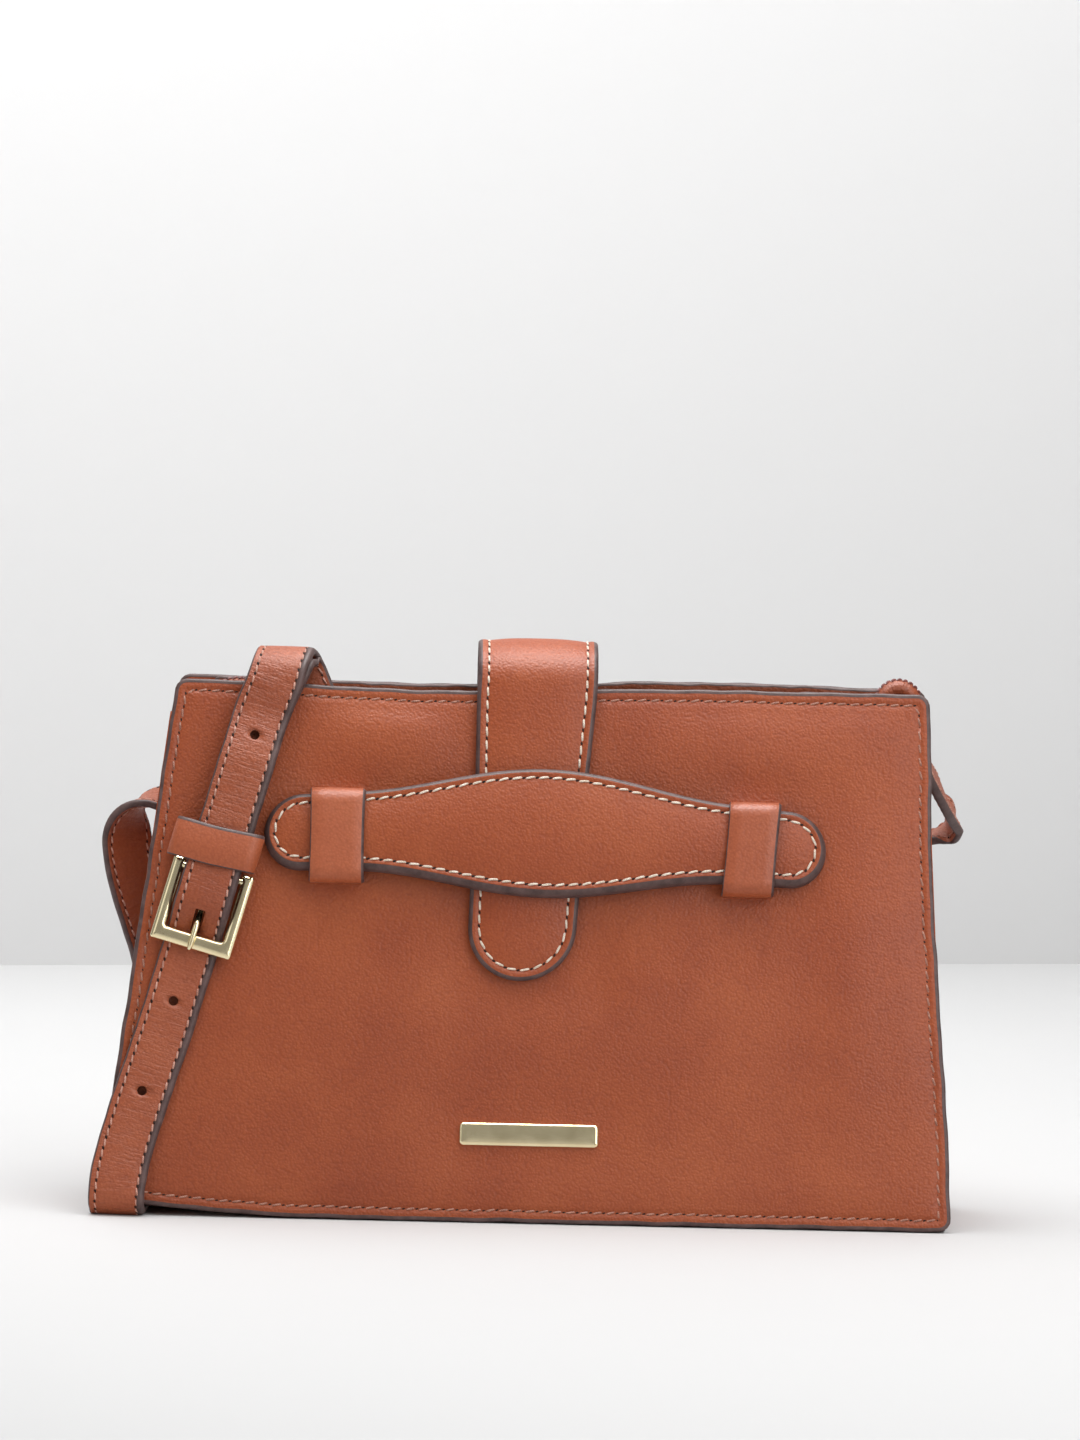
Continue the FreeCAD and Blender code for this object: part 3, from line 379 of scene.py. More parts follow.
def piece(name, points, faces, materials, kinds=None, body="bag", slot="tan_leather", stands_for=(),
          run=None):
    """A finished closed mesh from points in millimetres; kinds gives each face's material."""
    mesh = bpy.data.meshes.new(name)
    mesh.from_pydata([tuple(point) for point in np.asarray(points, float) * MM], [], faces)
    for material in materials:
        mesh.materials.append(material)
    if kinds is not None:
        mesh.polygons.foreach_set("material_index", list(kinds))
    if run is not None:
        layer = mesh.uv_layers.new(name="Run")
        corners = np.zeros(len(mesh.loops), np.int32)
        mesh.loops.foreach_get("vertex_index", corners)
        layer.data.foreach_set("uv", (np.asarray(run, float)[corners] * MM).ravel())
    tidy = bmesh.new()
    tidy.from_mesh(mesh)
    bmesh.ops.recalc_face_normals(tidy, faces=tidy.faces)
    tidy.to_mesh(mesh)
    tidy.free()
    mesh.shade_smooth()
    made = bpy.data.objects.new(name, mesh)
    bpy.context.scene.collection.objects.link(made)
    if body:
        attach(made, body)
    if stands_for:
        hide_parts(*stands_for)
    return made


def resampled(points, pitch, closed=True):
    """The polyline through the points, cut into equal steps of about a pitch."""
    line = np.vstack([points, points[:1]]) if closed else np.asarray(points, float)
    steps = np.linalg.norm(np.diff(line, axis=0), axis=1)
    ends = np.concatenate([[0], np.cumsum(steps)])
    count = max(int(round(ends[-1] / pitch)), 2)
    at = np.linspace(0, ends[-1], count + 1)
    if closed:
        at = at[:-1]
    return np.column_stack([np.interp(at, ends, line[:, k]) for k in range(line.shape[1])])


def rounded(corners, radii, pitch=1.5):
    """A closed outline, anticlockwise, whose corners are rounded, in equal steps."""
    out = []
    count = len(corners)
    for i, radius in enumerate(radii):
        corner = np.array(corners[i], float)
        before = np.array(corners[i - 1], float) - corner
        after = np.array(corners[(i + 1) % count], float) - corner
        before /= np.linalg.norm(before)
        after /= np.linalg.norm(after)
        half = math.acos(np.clip(before @ after, -1, 1)) / 2
        middle = (before + after) / np.linalg.norm(before + after)
        centre = corner + middle * radius / math.sin(half)
        start = corner + before * radius / math.tan(half) - centre
        end = corner + after * radius / math.tan(half) - centre
        turn = math.atan2(start[0] * end[1] - start[1] * end[0], start @ end)
        for part in np.linspace(0, 1, max(int(abs(turn) * radius / 0.5), 2) + 1):
            c, s = math.cos(turn * part), math.sin(turn * part)
            out.append(centre + np.array((c * start[0] - s * start[1], s * start[0] + c * start[1])))
    return resampled(np.array(out), pitch)


def inset(loop, distance):
    """The closed outline moved inwards."""
    tangent = unit(np.roll(loop, -1, axis=0) - np.roll(loop, 1, axis=0))
    return loop + np.column_stack([-tangent[:, 1], tangent[:, 0]]) * np.reshape(distance, (-1, 1))


def edge_distance(points, loop):
    """How far each point is from the outline."""
    start, step = loop, np.roll(loop, -1, axis=0) - loop
    length = (step**2).sum(axis=1)
    out = []
    for some in np.array_split(points, max(len(points) // 800, 1)):
        offset = some[:, None, :] - start[None]
        part = np.clip((offset * step[None]).sum(axis=2) / length[None], 0, 1)
        gap = offset - part[..., None] * step[None]
        out.append(np.sqrt((gap**2).sum(axis=2)).min(axis=1))
    return np.concatenate(out)


def grid_inside(loop, spacing, clear):
    """Staggered grid points inside the outline and clear of it."""
    low, high = loop.min(axis=0), loop.max(axis=0)
    rows = np.arange(low[1] + spacing / 2, high[1], spacing * 0.866)
    points = [
        (x, y)
        for i, y in enumerate(rows)
        for x in np.arange(low[0] + spacing * (0.25 + 0.5 * (i % 2)), high[0], spacing)
    ]
    points = np.array(points)
    following = np.roll(loop, -1, axis=0)
    inside = np.zeros(len(points), bool)
    for a, b in zip(loop, following):
        crosses = (a[1] > points[:, 1]) != (b[1] > points[:, 1])
        if crosses.any():
            at = (b[0] - a[0]) * (points[:, 1] - a[1]) / (b[1] - a[1] + 1e-12) + a[0]
            inside ^= crosses & (points[:, 0] < at)
    points = points[inside]
    return points[edge_distance(points, loop) > clear]


def filled(outline, border, rings, spacing):
    """Points and triangles that fill the border loop, with extra rings of points inside the outline."""
    loops = [border] + [inset(outline, distance) for distance in rings]
    clear = (max(rings) if rings else 0) + spacing * 0.55
    points = np.vstack(loops + [grid_inside(outline, spacing, clear)])
    count = len(border)
    sides = [(i, (i + 1) % count) for i in range(count)]
    found = delaunay_2d_cdt([Vector(p) for p in points], sides, [], 1, 1e-7)
    made = np.array([tuple(p) for p in found[0]])
    number = {}
    for new, old in enumerate(found[3]):
        for i in old:
            number[i] = new
    return made, [tuple(face) for face in found[2]], [number[i] for i in range(count)]


def sheet_piece(name, outline, place, rim, top, rings, spacing, materials, under_spacing=None, **facts):
    """A cut piece of leather or cloth: rim is [(inset, height), ...] from its back face round its edge.

    top(points, distance) gives the front face's heights, or its points where they also move sideways.
    """
    border = inset(outline, rim[-1][0])
    flat, triangles, joins = filled(outline, border, rings, spacing)
    heights = top(flat, edge_distance(flat, outline))
    if np.ndim(heights) == 2:
        flat, heights = heights[:, :2], heights[:, 2]
    points = [np.column_stack([flat, heights])]
    faces = list(triangles)
    kinds = [0] * len(triangles)
    count = len(outline)
    previous = joins
    total = len(flat)
    for distance, height in reversed(rim[:-1]):
        loop = inset(outline, distance)
        points.append(np.column_stack([loop, np.full(count, height)]))
        current = list(range(total, total + count))
        total += count
        for i in range(count):
            j = (i + 1) % count
            faces.append((previous[i], current[i], current[j], previous[j]))
            kinds.append(1)
        previous = current
    back_border = inset(outline, rim[0][0])
    back_flat, back_triangles, back_joins = filled(outline, back_border, (), under_spacing or spacing * 2)
    renumber = dict(zip(back_joins, previous))
    extra = [i for i in range(len(back_flat)) if i not in renumber]
    for i in extra:
        renumber[i] = total
        total += 1
    inner = back_flat[extra]
    if len(inner):
        points.append(np.column_stack([inner, np.full(len(inner), rim[0][1])]))
    for face in back_triangles:
        faces.append(tuple(renumber[i] for i in reversed(face)))
        kinds.append(0)
    return piece(name, place(np.vstack(points)), faces, materials, kinds, **facts)


def inflated(points, triangles, held, pressure, cap):
    """The sheet after cloth simulation: air pressure lifts it except where it is held down."""
    grow = 0.01  # a hundredth of the millimetre figures, ten times life size: light cloth is steadier large
    mesh = bpy.data.meshes.new("inflating")
    mesh.from_pydata([tuple(p) for p in points * grow], [], triangles)
    cloth_object = bpy.data.objects.new("inflating", mesh)
    bpy.context.scene.collection.objects.link(cloth_object)
    group = cloth_object.vertex_groups.new(name="held")
    group.add([int(i) for i in np.flatnonzero(held)], 1.0, "REPLACE")
    cloth = cloth_object.modifiers.new("Cloth", "CLOTH")
    settings = cloth.settings
    settings.quality = 6
    settings.mass = 0.2
    settings.tension_stiffness = 20
    settings.compression_stiffness = 20
    settings.shear_stiffness = 8
    settings.bending_stiffness = 0.6
    settings.use_pressure = True
    settings.uniform_pressure_force = pressure
    settings.vertex_group_mass = "held"
    settings.effector_weights.gravity = 0
    cloth.collision_settings.use_collision = False
    cloth.point_cache.frame_start = 1
    cloth.point_cache.frame_end = 20
    for number in range(1, 21):
        bpy.context.scene.frame_set(number)
    ready = cloth_object.evaluated_get(bpy.context.evaluated_depsgraph_get())
    moved = np.zeros(len(points) * 3, np.float32)
    ready.data.vertices.foreach_get("co", moved)
    moved = moved.reshape(-1, 3) / grow
    bpy.data.objects.remove(cloth_object)
    bpy.context.scene.frame_set(1)
    shift = moved - points
    length = np.linalg.norm(shift, axis=1)
    capped = cap * np.tanh(length / cap)
    return points + shift * (capped / np.maximum(length, 1e-9))[:, None]


# ---------------------------------------------------------------- stitches

HOLE_RADIUS = 0.48
# a stitch's stations: how far along it is, its width and its lift, both as shares of the thread
STITCH_STATIONS = [(0.06, 0.35, -0.25), (0.2, 0.9, 0.10), (0.5, 1.0, 0.20)]
STITCH_STATIONS += [(1 - part, width, lift) for part, width, lift in reversed(STITCH_STATIONS[:2])]
STITCH_SIDES = 6
DIMPLE_RINGS = ((1.0, -0.25), (1.0, 0.03), (0.5, 0.09))  # radius as a share of the hole's, and level
DIMPLE_SIDES = 8


def stitch_mesh(points, normals, closed, radius, lean, reach):
    """Capsules from hole to hole, and at each hole a dimple coloured as painted shade; returns points, faces
    and face kinds.
    """
    made, faces, kinds = [], [], []
    count = len(points)
    spans = count if closed else count - 1
    for i in range(spans):
        a, b = points[i], points[(i + 1) % count]
        normal = normals[i] + normals[(i + 1) % count]
        normal /= np.linalg.norm(normal)
        along = b - a
        length = np.linalg.norm(along)
        along /= length
        side = np.cross(normal, along)
        drift = lean * (1 + random.uniform(-0.25, 0.25))
        spread = reach * random.uniform(0.94, 1.04)
        first = len(made)
        for part, width, lift in STITCH_STATIONS:
            t = 0.5 + (part - 0.5) * spread
            centre = a + along * length * t + side * drift * (part - 0.5) * 2 + normal * lift * radius * 3
            for angle in around(STITCH_SIDES):
                round_it = side * math.cos(angle) + normal * math.sin(angle) * 0.8
                made.append(centre + round_it * radius * width)
        faces += tube_faces(first, STITCH_SIDES, len(STITCH_STATIONS))
        kinds += [0] * (len(faces) - len(kinds))
    # the dimples are dark discs of painted shade over the needle holes
    for i in range(count):
        following = points[(i + 1) % count] if closed or i < count - 1 else points[i] * 2 - points[i - 1]
        along = following - points[i]
        along /= np.linalg.norm(along)
        normal = normals[i]
        side = np.cross(normal, along)
        slant = along * 0.8 + side * 0.6
        other = np.cross(normal, slant)
        first = len(made)
        for ring_radius, level in DIMPLE_RINGS:
            for angle in around(DIMPLE_SIDES):
                wide = slant * math.cos(angle) * 1.35 + other * math.sin(angle) * 0.75
                made.append(points[i] + wide * HOLE_RADIUS * ring_radius + normal * level)
        faces += tube_faces(first, DIMPLE_SIDES, len(DIMPLE_RINGS))
        kinds += [1] * (len(faces) - len(kinds))
    return np.array(made), faces, kinds


def stitches(name, rows, yarn, radius=0.30, lean=0.36, reach=0.88, body="bag"):
    """One piece that holds rows of stitches; a row is (points, normals, closed)."""
    points, faces, kinds = [], [], []
    total = 0
    for row_points, row_normals, closed in rows:
        made, row_faces, row_kinds = stitch_mesh(row_points, row_normals, closed, radius, lean, reach)
        points.append(made)
        faces += [tuple(i + total for i in face) for face in row_faces]
        kinds += row_kinds
        total += len(made)
    return piece(name, np.vstack(points), faces, [yarn, HOLE_SHADE], kinds, body=body)


def stitch_row(path, height, place, pitch, closed=True):
    """A row along a flat path on a sheet: its places and normals in the bag's frame."""
    path = resampled(path, pitch, closed)
    level = height(path)
    base = place(np.column_stack([path, level]))
    return base, unit(place(np.column_stack([path, level + 1])) - base), closed


# ---------------------------------------------------------------- sweeps


def curve_through(places, spacing):
    """Catmull-Rom points through given ones, about a spacing apart, with the station number of each."""
    places = np.asarray(places, float)
    last = len(places) - 1
    dense, stations = [], []
    for i in range(last):
        a, b, c, d = (places[k] for k in (max(i - 1, 0), i, i + 1, min(i + 2, last)))
        steps = max(int(round(np.linalg.norm(c - b) / spacing)), 1)
        for step in range(steps):
            t = step / steps
            squared, cubed = (2 * a - 5 * b + 4 * c - d) * t**2, (3 * b - a - 3 * c + d) * t**3
            dense.append(0.5 * (2 * b + (c - a) * t + squared + cubed))
            stations.append(i + t)
    return np.array(dense + [places[last]]), np.array(stations + [last])


def route_frames(places, normals):
    """Along, across and square directions at each point of a route."""
    along = unit(np.gradient(places, axis=0))
    across = unit(np.cross(along, normals))
    return along, across, np.cross(across, along)


def swept(name, places, across, square, sections, materials, section_kinds, closed=False, **facts):
    """A solid along a route; sections holds each point's ring of (across, square) distances."""
    count, ring = sections.shape[:2]
    sideways, outwards = across[:, None, :] * sections[..., :1], square[:, None, :] * sections[..., 1:]
    points = places[:, None, :] + sideways + outwards
    faces = tube_faces(0, ring, count, closed)
    kinds = section_kinds * count if closed else section_kinds * (count - 1) + [max(section_kinds)] * 2
    steps = np.concatenate([[0], np.cumsum(np.linalg.norm(np.diff(places, axis=0), axis=1))])
    run = np.stack([sections[..., 0], np.repeat(steps[:, None], ring, axis=1)], axis=2).reshape(-1, 2)
    return piece(name, points.reshape(-1, 3), faces, materials, kinds, run=run, **facts)


def strap_section(half_width, half_thick, left_edge, right_edge, groove):
    """A flat strap's section, top face first: leather faces, dips at the stitch rows and painted edges.

    left and right are +across and -across; an edge's number is how far its paint reaches onto the face.
    """
    row = half_width - 2.0
    stops = [-half_width + right_edge, -row - 0.6, -row, -row + 0.7, -half_width * 0.45, 0]
    stops += [half_width * 0.45, row - 0.7, row, row + 0.6, half_width - left_edge]
    crown = [0, 0, -groove, 0.02, 0.08, 0.10, 0.08, 0.02, -groove, 0, 0]
    if right_edge > half_width - row - 0.6:
        stops[1] = (stops[0] + stops[2]) / 2
    top = [(x, half_thick + extra) for x, extra in zip(stops, crown)]
    left = [(half_width - left_edge * 0.4, half_thick * 0.82), (half_width, half_thick * 0.3)]
    left += [(half_width, -half_thick * 0.4), (half_width - 0.35, -half_thick * 0.9)]
    bottom = [(-x, -half_thick - 0.3 * extra) for x, extra in zip(stops, crown)]
    bottom[0] = (half_width - 0.8, -half_thick)
    bottom[-1] = (-half_width + 0.8, -half_thick)
    right = [(-half_width + 0.35, -half_thick * 0.9), (-half_width, -half_thick * 0.4)]
    right += [(-half_width, half_thick * 0.3), (-half_width + right_edge * 0.4, half_thick * 0.82)]
    ring = top + left + bottom + right
    kinds = [0] * (len(top) - 1) + [1] * (len(left) + 1)
    kinds += [2] * (len(bottom) - 1) + [1] * (len(right) + 1)
    return np.array(ring), kinds


ROD_RADIUS = 0.95


def rod(name, places, across, square, widths, **facts):
    """A round brass rod along a route; widths are shares of its radius, one for each point."""
    circle = np.array([(ROD_RADIUS * math.cos(angle), ROD_RADIUS * math.sin(angle)) for angle in around(16)])
    sections = circle[None] * widths[:, None, None]
    swept(name, places, across, square, sections, [BRIGHT_BRASS], [0] * 16, slot="brass", **facts)


# ---------------------------------------------------------------- front and back walls

STITCH_PITCH = 3.9
STITCH_INSET = 3.3
BAND_X = middle_mm("grip_band_face")[0]
BAND_UP = 112.8
TAB_X = middle_mm("closure_tab_face")[0]
KEEPER_X = {side: middle_mm(f"band_keeper_{side}")[0] for side in ("left", "right")}
KEEPER_HALF = 13.8


def wall_outline(margin, low, high, radii, wave=0.12, bow=None):
    """A wall layer's outline between two heights up the slope; bow lifts the top edge."""

    def edge(side, up):
        part = up / WALL_HEIGHT
        half = (1 - part) * HALF_BASE_WIDTH + part * HALF_TOP_WIDTH - margin
        return side * half + part * SLUMP

    corners = [(edge(1, low), low), (edge(1, high), high), (edge(-1, high), high), (edge(-1, low), low)]
    loop = rounded(corners, radii)
    lifted = rise(loop[:, 0]) * np.clip(1 - loop[:, 1] / 20, 0, 1)
    loop[:, 1] += lifted
    if bow:
        loop[:, 1] += bow(loop[:, 0]) * smoothstep((loop[:, 1] - high + 12) / 12)
    up = loop[:, 1]
    bulge = 1.3 * smoothstep((up - 112) / 36) + 0.5 * bell(up, 30, 26) - 0.3 * bell(up, 92, 22)
    loop[:, 0] += bulge * smoothstep((loop[:, 0] - 70) / 30)
    turn = np.linspace(0, 2 * math.pi, len(loop), endpoint=False)
    shake = sum(np.sin(turn * k + k * k) for k in (17, 29, 43, 61)) * wave / 2
    return inset(loop, np.abs(wave) + shake) if wave else loop


WALL_RIM = [(0.9, -1.6), (0.25, -1.45), (0.0, -0.9), (0.1, -0.45), (0.55, -0.12), (1.15, 0.0)]
WALL_RINGS = (1.7, 2.3, 2.8, 3.3, 3.8, 4.4, 5.4, 6.8)


def free_wall(points):
    """1 where nothing lies on the front wall, falling to 0 under the tab, the bar and the strap."""
    x, up = points[:, 0], points[:, 1]
    tab = np.hypot(np.maximum(np.abs(x - TAB_X) - 18, 0), np.maximum(70 - up, 0))
    bar = np.hypot(np.maximum(np.abs(x - 1.4) - 21, 0), np.maximum(np.abs(up - 26) - 4, 0))
    strap_line = np.interp(up, [10, 30, 62, 90, 157], [-118.4, -114.8, -105.7, -96.8, -76.0])
    strap = np.maximum(np.abs(x - strap_line) - 10, 0)
    nearest = np.minimum(np.minimum(tab, bar), strap)
    return 1 - np.exp(-((nearest / 9) ** 2))


def wall_edge(distance):
    """A wall's groove at its stitches and its rounded edge; also 0 at the seam, rising to 1 inside it."""
    inner = smoothstep((distance - STITCH_INSET - 0.3) / 7)
    return -0.42 * bell(distance, STITCH_INSET, 0.75) + 0.22 * inner - 0.25 * bell(distance, 0.9, 0.7), inner


def front_height(points, distance=None):
    """How far the front wall's leather stands out: its edge, soft swellings and dents at the keepers."""
    if distance is None:
        distance = edge_distance(points, FRONT_OUTLINE)
    x, up = points[:, 0], points[:, 1]
    height, inner = wall_edge(distance)
    swell = 1.1 * bell(x, 50, 60) * bell(up, 58, 34) + 1.1 * bell(x, 96, 12) * bell(up, 84, 60)
    swell += 1.4 * bell(x, -40, 24) * bell(up, 141, 10) + 1.1 * bell(x, 66, 36) * bell(up, 140, 10)
    swell += 0.8 * bell(x, -52, 34) * bell(up, 52, 34)
    dent = 0.0
    for keeper in KEEPER_X.values():
        for side in (-1, 1):
            dent = dent + 0.55 * bell(x, keeper, 11) * bell(up, BAND_UP + side * (KEEPER_HALF + 1.5), 4.5)
    return height + swell * inner * free_wall(points) - dent


def mouth_droop(x):
    """The front wall's soft top edge droops to the left of the tab."""
    return -1.9 * bell(x, -30, 42)


FRONT_OUTLINE = wall_outline(0, WALL_FOOT, WALL_HEIGHT, (3.5, 4, 4, 3.5), bow=mouth_droop)


def mouth_bow(x):
    """The back wall's soft top edge stands a little higher to the right of the tab, lower to its left."""
    return 0.8 * smoothstep((x - 16) / 14) * smoothstep((104 - x) / 34) - 1.4 * bell(x, -34, 40)


BACK_OUTLINE = wall_outline(0, WALL_FOOT, WALL_HEIGHT, (3.5, 4, 4, 3.5), bow=mouth_bow)


def back_height(points, distance):
    x, up = points[:, 0], points[:, 1]
    height, inner = wall_edge(distance)
    tab = np.hypot(np.maximum(np.abs(x - TAB_X) - 18, 0), np.maximum(125 - up, 0))
    return height + 1.0 * inner * bell(x, 0, 85) * bell(up, 66, 42) * (1 - np.exp(-((tab / 12) ** 2)))


def build_walls():
    leathers = [TAN, GREY_EDGE]
    sheet_piece("front_wall", FRONT_OUTLINE, FRONT, WALL_RIM, front_height, WALL_RINGS, 2.3, leathers,
                under_spacing=6, stands_for=["front_panel"])
    sheet_piece("back_wall", BACK_OUTLINE, BACK, WALL_RIM, back_height, WALL_RINGS, 3.0, leathers,
                under_spacing=6, stands_for=["back_panel"])
    front_row = stitch_row(inset(FRONT_OUTLINE, STITCH_INSET), front_height, FRONT, STITCH_PITCH)
    stitches("front_wall_stitches", [front_row], BROWN_THREAD)
    back_surface = lambda path: back_height(path, edge_distance(path, BACK_OUTLINE))
    back_row = stitch_row(inset(BACK_OUTLINE, STITCH_INSET), back_surface, BACK, STITCH_PITCH)
    stitches("back_wall_stitches", [back_row], BROWN_THREAD)


# ---------------------------------------------------------------- facings, linings, pocket

SEAM_INSET = 10.4
FACING_HEIGHT = 22.0
THIN = 1.2
CLOTH_THICK = 0.6


def inward(wall):
    """The wall's frame with z turned into the bag."""
    return lambda points: wall(np.asarray(points, float) * (1, 1, -1))


def build_inside():
    facing_foot = WALL_HEIGHT - FACING_HEIGHT
    for side, wall in (("front", FRONT), ("back", BACK)):
        start = LEATHER
        bow = mouth_bow if side == "back" else mouth_droop
        outline = wall_outline(SEAM_INSET, facing_foot, WALL_HEIGHT, (2, 2, 2, 2), bow=bow)
        rim = [(0.3, start), (0.0, start + 0.3), (0.0, start + 0.8), (0.3, start + 1.1), (0.7, start + THIN)]
        groove = lambda p, d: start + THIN - 0.25 * bell(d, STITCH_INSET, 0.7)
        sheet_piece(f"{side}_facing_leather", outline, inward(wall), rim, groove, (2.5, 3.3, 4.1), 3.2,
                    [TAN_INSIDE, GREY_EDGE], stands_for=[f"{side}_facing"])
        row_path = np.array([(x, WALL_HEIGHT - 3.4 + bow(x)) for x in np.arange(-88, 97, 2.0)])
        level = lambda p: np.full(len(p), start + THIN - 0.12)
        row = stitch_row(row_path, level, inward(wall), STITCH_PITCH, False)
        stitches(f"{side}_facing_stitches", [row], BROWN_THREAD)
        layer = start + THIN
        cloth = wall_outline(SEAM_INSET + 3, 12, facing_foot + 4, (1.5, 1.5, 1.5, 1.5), wave=0)
        rim = [(0.15, layer), (0.0, layer + 0.2), (0.0, layer + 0.4), (0.2, layer + CLOTH_THICK)]
        ripple = lambda p: np.sin(p[:, 0] / 17) * np.cos(p[:, 1] / 13)
        soft = lambda p, d: layer + CLOTH_THICK + 0.25 * smoothstep(d / 12) * ripple(p)
        sheet_piece(f"{side}_lining_cloth", cloth, inward(wall), rim, soft, (1.0,), 5.0, [CLOTH, CLOTH],
                    slot="lining_cloth", stands_for=[f"lining_{side}"])
    level = LEATHER + THIN + CLOTH_THICK + 0.25
    pocket = rounded([(62, 32), (62, 108), (-62, 108), (-62, 32)], (6, 1.5, 1.5, 6))
    rim = [(0.2, level), (0.0, level + 0.15), (0.0, level + 0.35), (0.25, level + 0.6)]
    belly = lambda p, d: level + 0.6 - 0.2 * bell(d, 2.0, 0.6) + 0.5 * smoothstep(d / 14)
    sheet_piece("pocket_cloth", pocket, inward(BACK), rim, belly, (1.2, 2.0, 2.8), 4.0, [CLOTH, CLOTH],
                slot="lining_cloth", stands_for=["slip_pocket"])
    seam = inset(pocket, 2.0)
    row = stitch_row(seam, lambda p: np.full(len(p), level + 0.42), inward(BACK), 3.2)
    stitches("pocket_stitches", [row], BROWN_THREAD)


def build_sole():
    """The sole leather, its stitches and the lining over it."""
    low, high = corners_mm("base_panel")
    depth = HALF_BASE - LEATHER / COS - 0.15
    sole = lambda points: np.column_stack([points[:, 0], points[:, 1], rise(points[:, 0]) - points[:, 2]])
    corners = [(high[0], -depth), (high[0], depth), (low[0], depth), (low[0], -depth)]
    outline = rounded(corners, (3, 3, 3, 3), 2.0)
    rim = [(1.6, -1.6), (0.5, -1.4), (0.0, -0.9), (0.1, -0.4), (0.7, 0.0)]
    face = lambda p, d: -0.02 - 0.25 * bell(d, STITCH_INSET, 0.8)
    sheet_piece("sole_leather", outline, sole, rim, face, (2.5, 3.3, 4.1), 4.0, [TAN, GREY_EDGE],
                stands_for=["base_panel"])
    row = stitch_row(inset(outline, STITCH_INSET), lambda p: np.full(len(p), -0.22), sole, STITCH_PITCH)
    stitches("sole_stitches", [row], BROWN_THREAD)
    low, high = corners_mm("lining_base")
    floor_up = LEATHER + THIN
    inside = lambda points: np.column_stack([points[:, 0], points[:, 1], rise(points[:, 0]) + points[:, 2]])
    corners = [(high[0], low[1]), (high[0], high[1]), (low[0], high[1]), (low[0], low[1])]
    cloth = rounded(corners, (2, 2, 2, 2), 2.5)
    rim = [(0.3, floor_up), (0.0, floor_up + 0.2), (0.0, floor_up + 0.4), (0.3, floor_up + 0.6)]
    swell = lambda p, d: 0.3 * smoothstep(d / 10) * np.sin(p[:, 0] / 19) * np.cos(p[:, 1] / 11)
    soft = lambda p, d: floor_up + 0.6 + swell(p, d)
    sheet_piece("sole_lining_cloth", cloth, inside, rim, soft, (1.2,), 5.0, [CLOTH, CLOTH],
                slot="lining_cloth", stands_for=["lining_base"])


# ---------------------------------------------------------------- gussets

GUSSET_TOP = 146.0
GUSSET_ACROSS = 44  # points across the leather
GUSSET_LEVELS = 60
CREASE_TOP = 12.0
SEAM = 7.0


def gusset_line(side, height):
    """The gusset's outer face at one height, from the front seam round the inward fold to the back seam."""
    part = min(height / GUSSET_TOP, 1.0)
    wall_y = HALF_BASE - (HALF_BASE - HALF_TOP) * height / BAG_HEIGHT - LEATHER / COS
    level = height / BAG_HEIGHT
    edge = side * ((1 - level) * HALF_BASE_WIDTH + level * HALF_TOP_WIDTH - 1.3 * (1 - part)) + SLUMP * level
    turn = edge - side * (SEAM - 2.5)
    deep = CREASE_TOP * part + 2.5
    crease = turn - side * deep
    corners = [(edge, -wall_y), (turn + side * 0.5, -wall_y), (turn - side * 2.0, -wall_y + 1.8)]
    beside = crease + side * deep * 0.30
    corners += [(beside, -wall_y * 0.36), (crease, 0), (beside, wall_y * 0.36)]
    corners += [(turn - side * 2.0, wall_y - 1.8), (turn + side * 0.5, wall_y), (edge, wall_y)]
    line, _ = curve_through(np.array(corners), 1.6)
    return resampled(line, 1.0, False)


def build_gusset(name, side, foot):
    """A folded side leather: a grid of points on its outer face, and the same points a thickness inwards."""
    count = GUSSET_ACROSS
    heights = np.linspace(foot, GUSSET_TOP, GUSSET_LEVELS)
    fade = np.sin(np.pi * np.arange(count) / (count - 1)) ** 2
    grid = []
    for height in heights:
        line = gusset_line(side, height)
        at = np.linspace(0, len(line) - 1, count)
        flat = np.column_stack([np.interp(at, range(len(line)), line[:, k]) for k in (0, 1)])
        flat[:, 0] += side * 0.3 * np.sin(height / 9.0 + flat[:, 1] / 6.0) * fade
        grid.append(np.column_stack([flat, np.full(count, height)]))
    grid = np.array(grid)
    up = np.gradient(grid, axis=0)
    along = np.gradient(grid, axis=1)
    normal = unit(np.cross(along, up))
    inner_side = np.sign(normal[0, count // 2, 0]) * side
    inner = grid - normal * inner_side * THIN
    rows = len(heights)
    points = np.vstack([grid.reshape(-1, 3), inner.reshape(-1, 3)])
    faces, kinds = [], []
    other = rows * count
    for i in range(rows - 1):
        for k in range(count - 1):
            a, b, c, d = i * count + k, i * count + k + 1, (i + 1) * count + k + 1, (i + 1) * count + k
            faces += [(a, b, c, d), (d + other, c + other, b + other, a + other)]
            kinds += [0, 0]
        for k in (0, count - 1):
            a, b = i * count + k, (i + 1) * count + k
            faces.append((a, b, b + other, a + other))
            kinds.append(1)
    for i in (0, rows - 1):
        for k in range(count - 1):
            a, b = i * count + k, i * count + k + 1
            faces.append((a, b, b + other, a + other))
            kinds.append(1)
    piece(f"{name}_leather", points, faces, [TAN, GREY_EDGE], kinds, stands_for=[name])


# ---------------------------------------------------------------- grip band

BAND_HALF = (corners_mm("grip_band_face")[1][0] - corners_mm("grip_band_face")[0][0]) / 2
BAND_END = 11.0
BAND_NECK = 11.4
BAND_MID = 18.6
BAND_RISE = 58.0  # half the length of the wide middle
BAND_CURVE = 1660.0
BAND_PITCH = 3.9
PAD_SPACING = 1.5  # between the points that the simulation moves
BAND_SEAM = 3.0
BAND_TURN = math.radians(0.8)
BAND_SHIFT = 0.2
BAND_LIFT = 0.7
BAND_SAG = 2.8
BAND_TILT = 0.3  # the face leans up, so the painted edge shows more below than above


